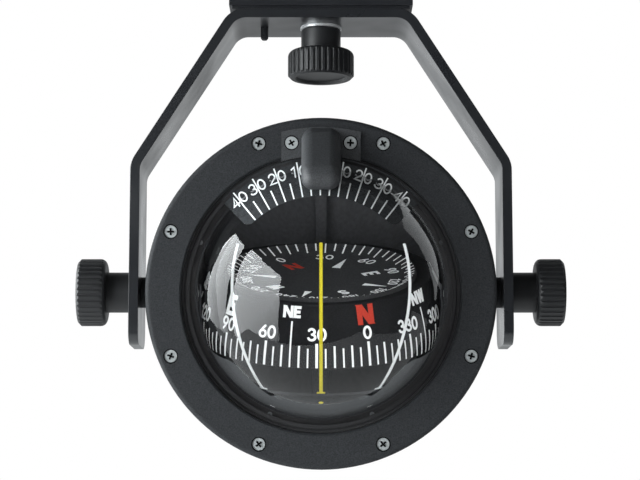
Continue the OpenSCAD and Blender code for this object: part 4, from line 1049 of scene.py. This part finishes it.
# Section of the seal: radius and rise above its seat, in mm
SEAL_SECTION = ((67.2, 0.05), (67.3, 0.5), (67.8, 0.7), (69.1, 0.7), (69.4, 0.5), (69.4, 0.1), (70.0, 0.1),
    (70.1, 1.2), (70.5, 1.5), (71.2, 1.5), (71.3, 0.05))


def window_seal():
    """Rubber seal with two lips between the dome's flange and the bezel."""
    bm = bmesh.new()
    lathe(bm, [(radius * MM, SEAL_SEAT - rise * MM) for radius, rise in SEAL_SECTION], ROUND_COLUMNS)
    bmesh.ops.recalc_face_normals(bm, faces=bm.faces)
    finished("window_seal", bm, about_dome, [FINISHES["black_rubber"]], "bowl", smooth=30)


window_seal()


# Camera and light

PHOTO_WIDTH, PHOTO_HEIGHT = 640, 480
PHOTO_CENTRE = Vector((PHOTO_WIDTH / 2, PHOTO_HEIGHT / 2))
FOCAL_PX = 2000
SENSOR_WIDTH = 36
# Place of the camera from the bezel's centre, in metres
CAMERA_DISTANCE = 1.020
CAMERA_RISE = 0.0275
CAMERA_SIDE = -0.0005
PANEL_COLOUR = (0.94, 0.98, 1.0, 1)
ROOM_COLOUR = (0.95, 0.98, 1.0, 1)
WHITE = (1, 1, 1, 1)
bezel_centre = about_dome @ Vector((0, BEZEL_FACE, 0))
camera_place = frame_at(
    bezel_centre - BOWL_BACK * CAMERA_DISTANCE + BOWL_UP * CAMERA_RISE + ACROSS * CAMERA_SIDE,
    ACROSS, BOWL_UP, -BOWL_BACK)


def photo_camera():
    """Camera square on to the bezel, a little above its centre."""
    data = bpy.data.cameras.new("camera")
    data.sensor_width = SENSOR_WIDTH
    data.lens = SENSOR_WIDTH * FOCAL_PX / PHOTO_WIDTH
    camera = bpy.data.objects.new("camera", data)
    camera.matrix_world = camera_place
    bpy.context.scene.collection.objects.link(camera)
    bpy.context.scene.camera = camera


def dome_reflection(pixel):
    """Where on the dome a pixel of the photo looks, and the direction it sees mirrored there."""
    ray = Vector(((pixel[0] - PHOTO_CENTRE.x) / FOCAL_PX, (PHOTO_CENTRE.y - pixel[1]) / FOCAL_PX, -1))
    start = camera_place.translation
    way = (camera_place.to_3x3() @ ray).normalized()
    offset = start - DOME_CENTRE
    half = offset.dot(way)
    depth = -half - math.sqrt(half ** 2 - offset.length_squared + DOME_R ** 2)
    point = start + way * depth
    normal = (point - DOME_CENTRE).normalized()
    return point, way - 2 * way.dot(normal) * normal


def mirrored_spot(pixel, axis, level):
    """Point on a wall or floor that shows in the dome at a pixel."""
    point, way = dome_reflection(pixel)
    return point + way * ((level - point[axis]) / way[axis])


def glowing(name, axis, first, last):
    """Light whose strength goes from one value to another along an axis, each after its place."""
    material, nodes, links = new_material(name)
    place = nodes.new("ShaderNodeTexCoord")
    split = nodes.new("ShaderNodeSeparateXYZ")
    light = nodes.new("ShaderNodeEmission")
    output = nodes.new("ShaderNodeOutputMaterial")
    links.new(place.outputs["Object"], split.inputs[0])
    light.inputs["Color"].default_value = PANEL_COLOUR
    links.new(fade(nodes, links, split.outputs[axis], first, last), light.inputs["Strength"])
    links.new(light.outputs[0], output.inputs["Surface"])
    return material


def glowing_upwards(name, corners, lowest, highest):
    """Light whose strength goes from one value at its lowest corner to another at its highest."""
    heights = [corner.z for corner in corners]
    return glowing(name, "Z", (min(heights), lowest), (max(heights), highest))


def panel(name, corners, faces, material):
    """Flat light of the studio, which the camera doesn't see by itself."""
    mesh = bpy.data.meshes.new(name)
    mesh.from_pydata(corners, [], faces)
    mesh.materials.append(material)
    obj = bpy.data.objects.new(name, mesh)
    bpy.context.scene.collection.objects.link(obj)
    obj.visible_camera = False
    obj.visible_transmission = False
    obj.visible_shadow = False
    return obj


# Outlines of what shows mirrored in the dome, in pixels of the photo; strips go by pairs of points
BAND = ((239.1, 256.1), (234.3, 265), (231.1, 273), (229.1, 281), (227.6, 289), (226.7, 297), (226.1, 305),
    (226.1, 313), (226.9, 321))
LEFT_PANE = ((235.1, 233.8), (245, 246.1)) + BAND + ((228.7, 335.4), (220.7, 329.5), (208.4, 316.7),
    (205.5, 300.8), (206.5, 288.8), (208.5, 276), (212, 264.9), (217.3, 253.7), (225, 243.3))
LEFT_STRIP = (((234.3, 235.0), (235.1, 234.6)), ((223.9, 247.8), (225.5, 249.2)),
    ((215.9, 261.3), (219, 263)), ((211.2, 272.5), (216, 275.5)), ((208.3, 283.6), (216, 288)),
    ((207.5, 294.8), (217, 301)), ((208, 307.6), (218, 311)), ((209.9, 318.7), (219.5, 321)),
    ((217.5, 326.7), (221, 330)))
RIGHT_PANE = ((251.4, 249.7), (281.7, 277.2), (279.7, 285.6), (279.3, 304.7), (279.7, 341), (266.2, 343.8),
    (242.3, 339.8), (235.4, 336.6)) + tuple((x + 6.4, y) for x, y in BAND[::-1])
CRESCENT = (((389.8, 194.2), (389.6, 194.8)), ((400, 202), (397.8, 205.5)), ((407.3, 210.3), (401.8, 216.7)),
    ((415.8, 220), (402.5, 222)), ((422, 229), (403.9, 229.1)), ((427, 236.8), (414.4, 239.6)),
    ((434, 251.6), (422.1, 251.6)), ((437.5, 264.9), (427, 262.1)), ((438.9, 277.5), (429.8, 271.9)),
    ((437.2, 286.7), (433.3, 285.3)), ((436.1, 299.3), (434.4, 300.7)))
TABLE_EDGE = ((225, 331), (281, 343), (288, 348), (345, 340), (359, 332), (416, 330), (425, 318))

# Places in the studio, in metres, and lights by their place along X and their strength there
PANE_X = -0.9
CARD_GAP = 7 * MM
TABLE_LEVEL = -0.62
TABLE_HALF_W = 2.5
TABLE_MIDDLE, TABLE_BACK = 0.15, 2.5
TABLE_LIGHT = ((0.5, 0.62), (-0.7, 1.45))
TABLE_BACK_LIGHT = ((0.5, 0.45), (-0.7, 0.8))
# The room's strength by the direction's Y and Z: dim in front and below, full behind and above
ROOM_BY_DEPTH = ((0.45, 0.05), (0.75, 1.0))
ROOM_BY_HEIGHT = ((-0.35, 0.4), (0.05, 1.0))


def pane(name, outline, lowest, highest):
    """Pane of the tall light at the left, seen mirrored in the dome."""
    corners = [mirrored_spot(pixel, 0, PANE_X) for pixel in outline]
    panel(name, corners, [range(len(corners))], glowing_upwards(name, corners, lowest, highest))


def close_card(name, pairs, lowest, highest):
    """Pale card held close to the dome, seen mirrored near its edge."""
    corners = []
    for pair in pairs:
        for pixel in pair:
            point, way = dome_reflection(pixel)
            corners.append(point + way * CARD_GAP)
    faces = [(2 * i, 2 * i + 1, 2 * i + 3, 2 * i + 2) for i in range(len(pairs) - 1)]
    material = glowing_upwards(name, corners, lowest, highest)
    material.cycles.emission_sampling = "NONE"
    panel(name, corners, faces, material).visible_diffuse = False


def table():
    """Pale table top below, whose front edge shows mirrored in the dome, and its dimmer back."""
    edge = [mirrored_spot(pixel, 2, TABLE_LEVEL) for pixel in TABLE_EDGE]
    left, right, level = -TABLE_HALF_W, TABLE_HALF_W, TABLE_LEVEL
    middle = [(right, TABLE_MIDDLE, level), (left, TABLE_MIDDLE, level)]
    front = [(left, edge[0].y, level)] + edge + [(right, edge[-1].y, level)] + middle
    panel("table", front, [range(len(front))], glowing("table", "X", *TABLE_LIGHT))
    back = middle[::-1] + [(right, TABLE_BACK, level), (left, TABLE_BACK, level)]
    panel("table_back", back, [range(4)], glowing("table_back", "X", *TABLE_BACK_LIGHT))


def area_light(name, aim, distance, side, rise, size, power):
    """Soft lamp that looks at a point from a bearing and height in degrees."""
    data = bpy.data.lights.new(name, "AREA")
    data.shape = "RECTANGLE"
    data.size, data.size_y = size
    data.energy = power
    lamp = bpy.data.objects.new(name, data)
    bearing, height = math.radians(side), math.radians(rise)
    level = math.cos(height)
    way = Vector((math.sin(bearing) * level, -math.cos(bearing) * level, math.sin(height)))
    lamp.location = aim + way * distance
    lamp.rotation_euler = way.to_track_quat("Z", "Y").to_euler()
    lamp.visible_glossy = False
    bpy.context.scene.collection.objects.link(lamp)


def studio_world():
    """Pale world: white behind the object, a dim room in front of it for what is mirrored."""
    world = bpy.data.worlds.new("studio")
    bpy.context.scene.world = world
    world.use_nodes = True
    nodes, links = world.node_tree.nodes, world.node_tree.links
    nodes.clear()
    path = nodes.new("ShaderNodeLightPath")
    place = nodes.new("ShaderNodeTexCoord")
    split = nodes.new("ShaderNodeSeparateXYZ")
    room = nodes.new("ShaderNodeBackground")
    seen = nodes.new("ShaderNodeBackground")
    output = nodes.new("ShaderNodeOutputWorld")
    links.new(place.outputs["Generated"], split.inputs[0])
    by_depth = fade(nodes, links, split.outputs["Y"], *ROOM_BY_DEPTH)
    by_height = fade(nodes, links, split.outputs["Z"], *ROOM_BY_HEIGHT)
    room.inputs["Color"].default_value = ROOM_COLOUR
    links.new(maths(nodes, links, "MULTIPLY", by_depth, by_height), room.inputs["Strength"])
    seen.inputs["Color"].default_value = WHITE
    straight, through = path.outputs["Is Camera Ray"], path.outputs["Is Transmission Ray"]
    either = maths(nodes, links, "MAXIMUM", straight, through)
    links.new(mixed(nodes, links, either, room.outputs[0], seen.outputs[0]), output.inputs["Surface"])


photo_camera()
studio_world()
pane("left_pane", LEFT_PANE, lowest=2.7, highest=11.0)
pane("right_pane", RIGHT_PANE, lowest=1.5, highest=13.0)
close_card("left_card", LEFT_STRIP, lowest=2.0, highest=7.0)
close_card("right_card", CRESCENT, lowest=0.75, highest=0.9)
table()
area_light("fill", bezel_centre, distance=1.3, side=-18, rise=-14, size=(0.9, 0.9), power=7.4)
area_light("right_fill", bezel_centre, distance=1.2, side=50, rise=-5, size=(0.8, 0.8), power=4.1)
bpy.context.scene.view_settings.view_transform = "Standard"
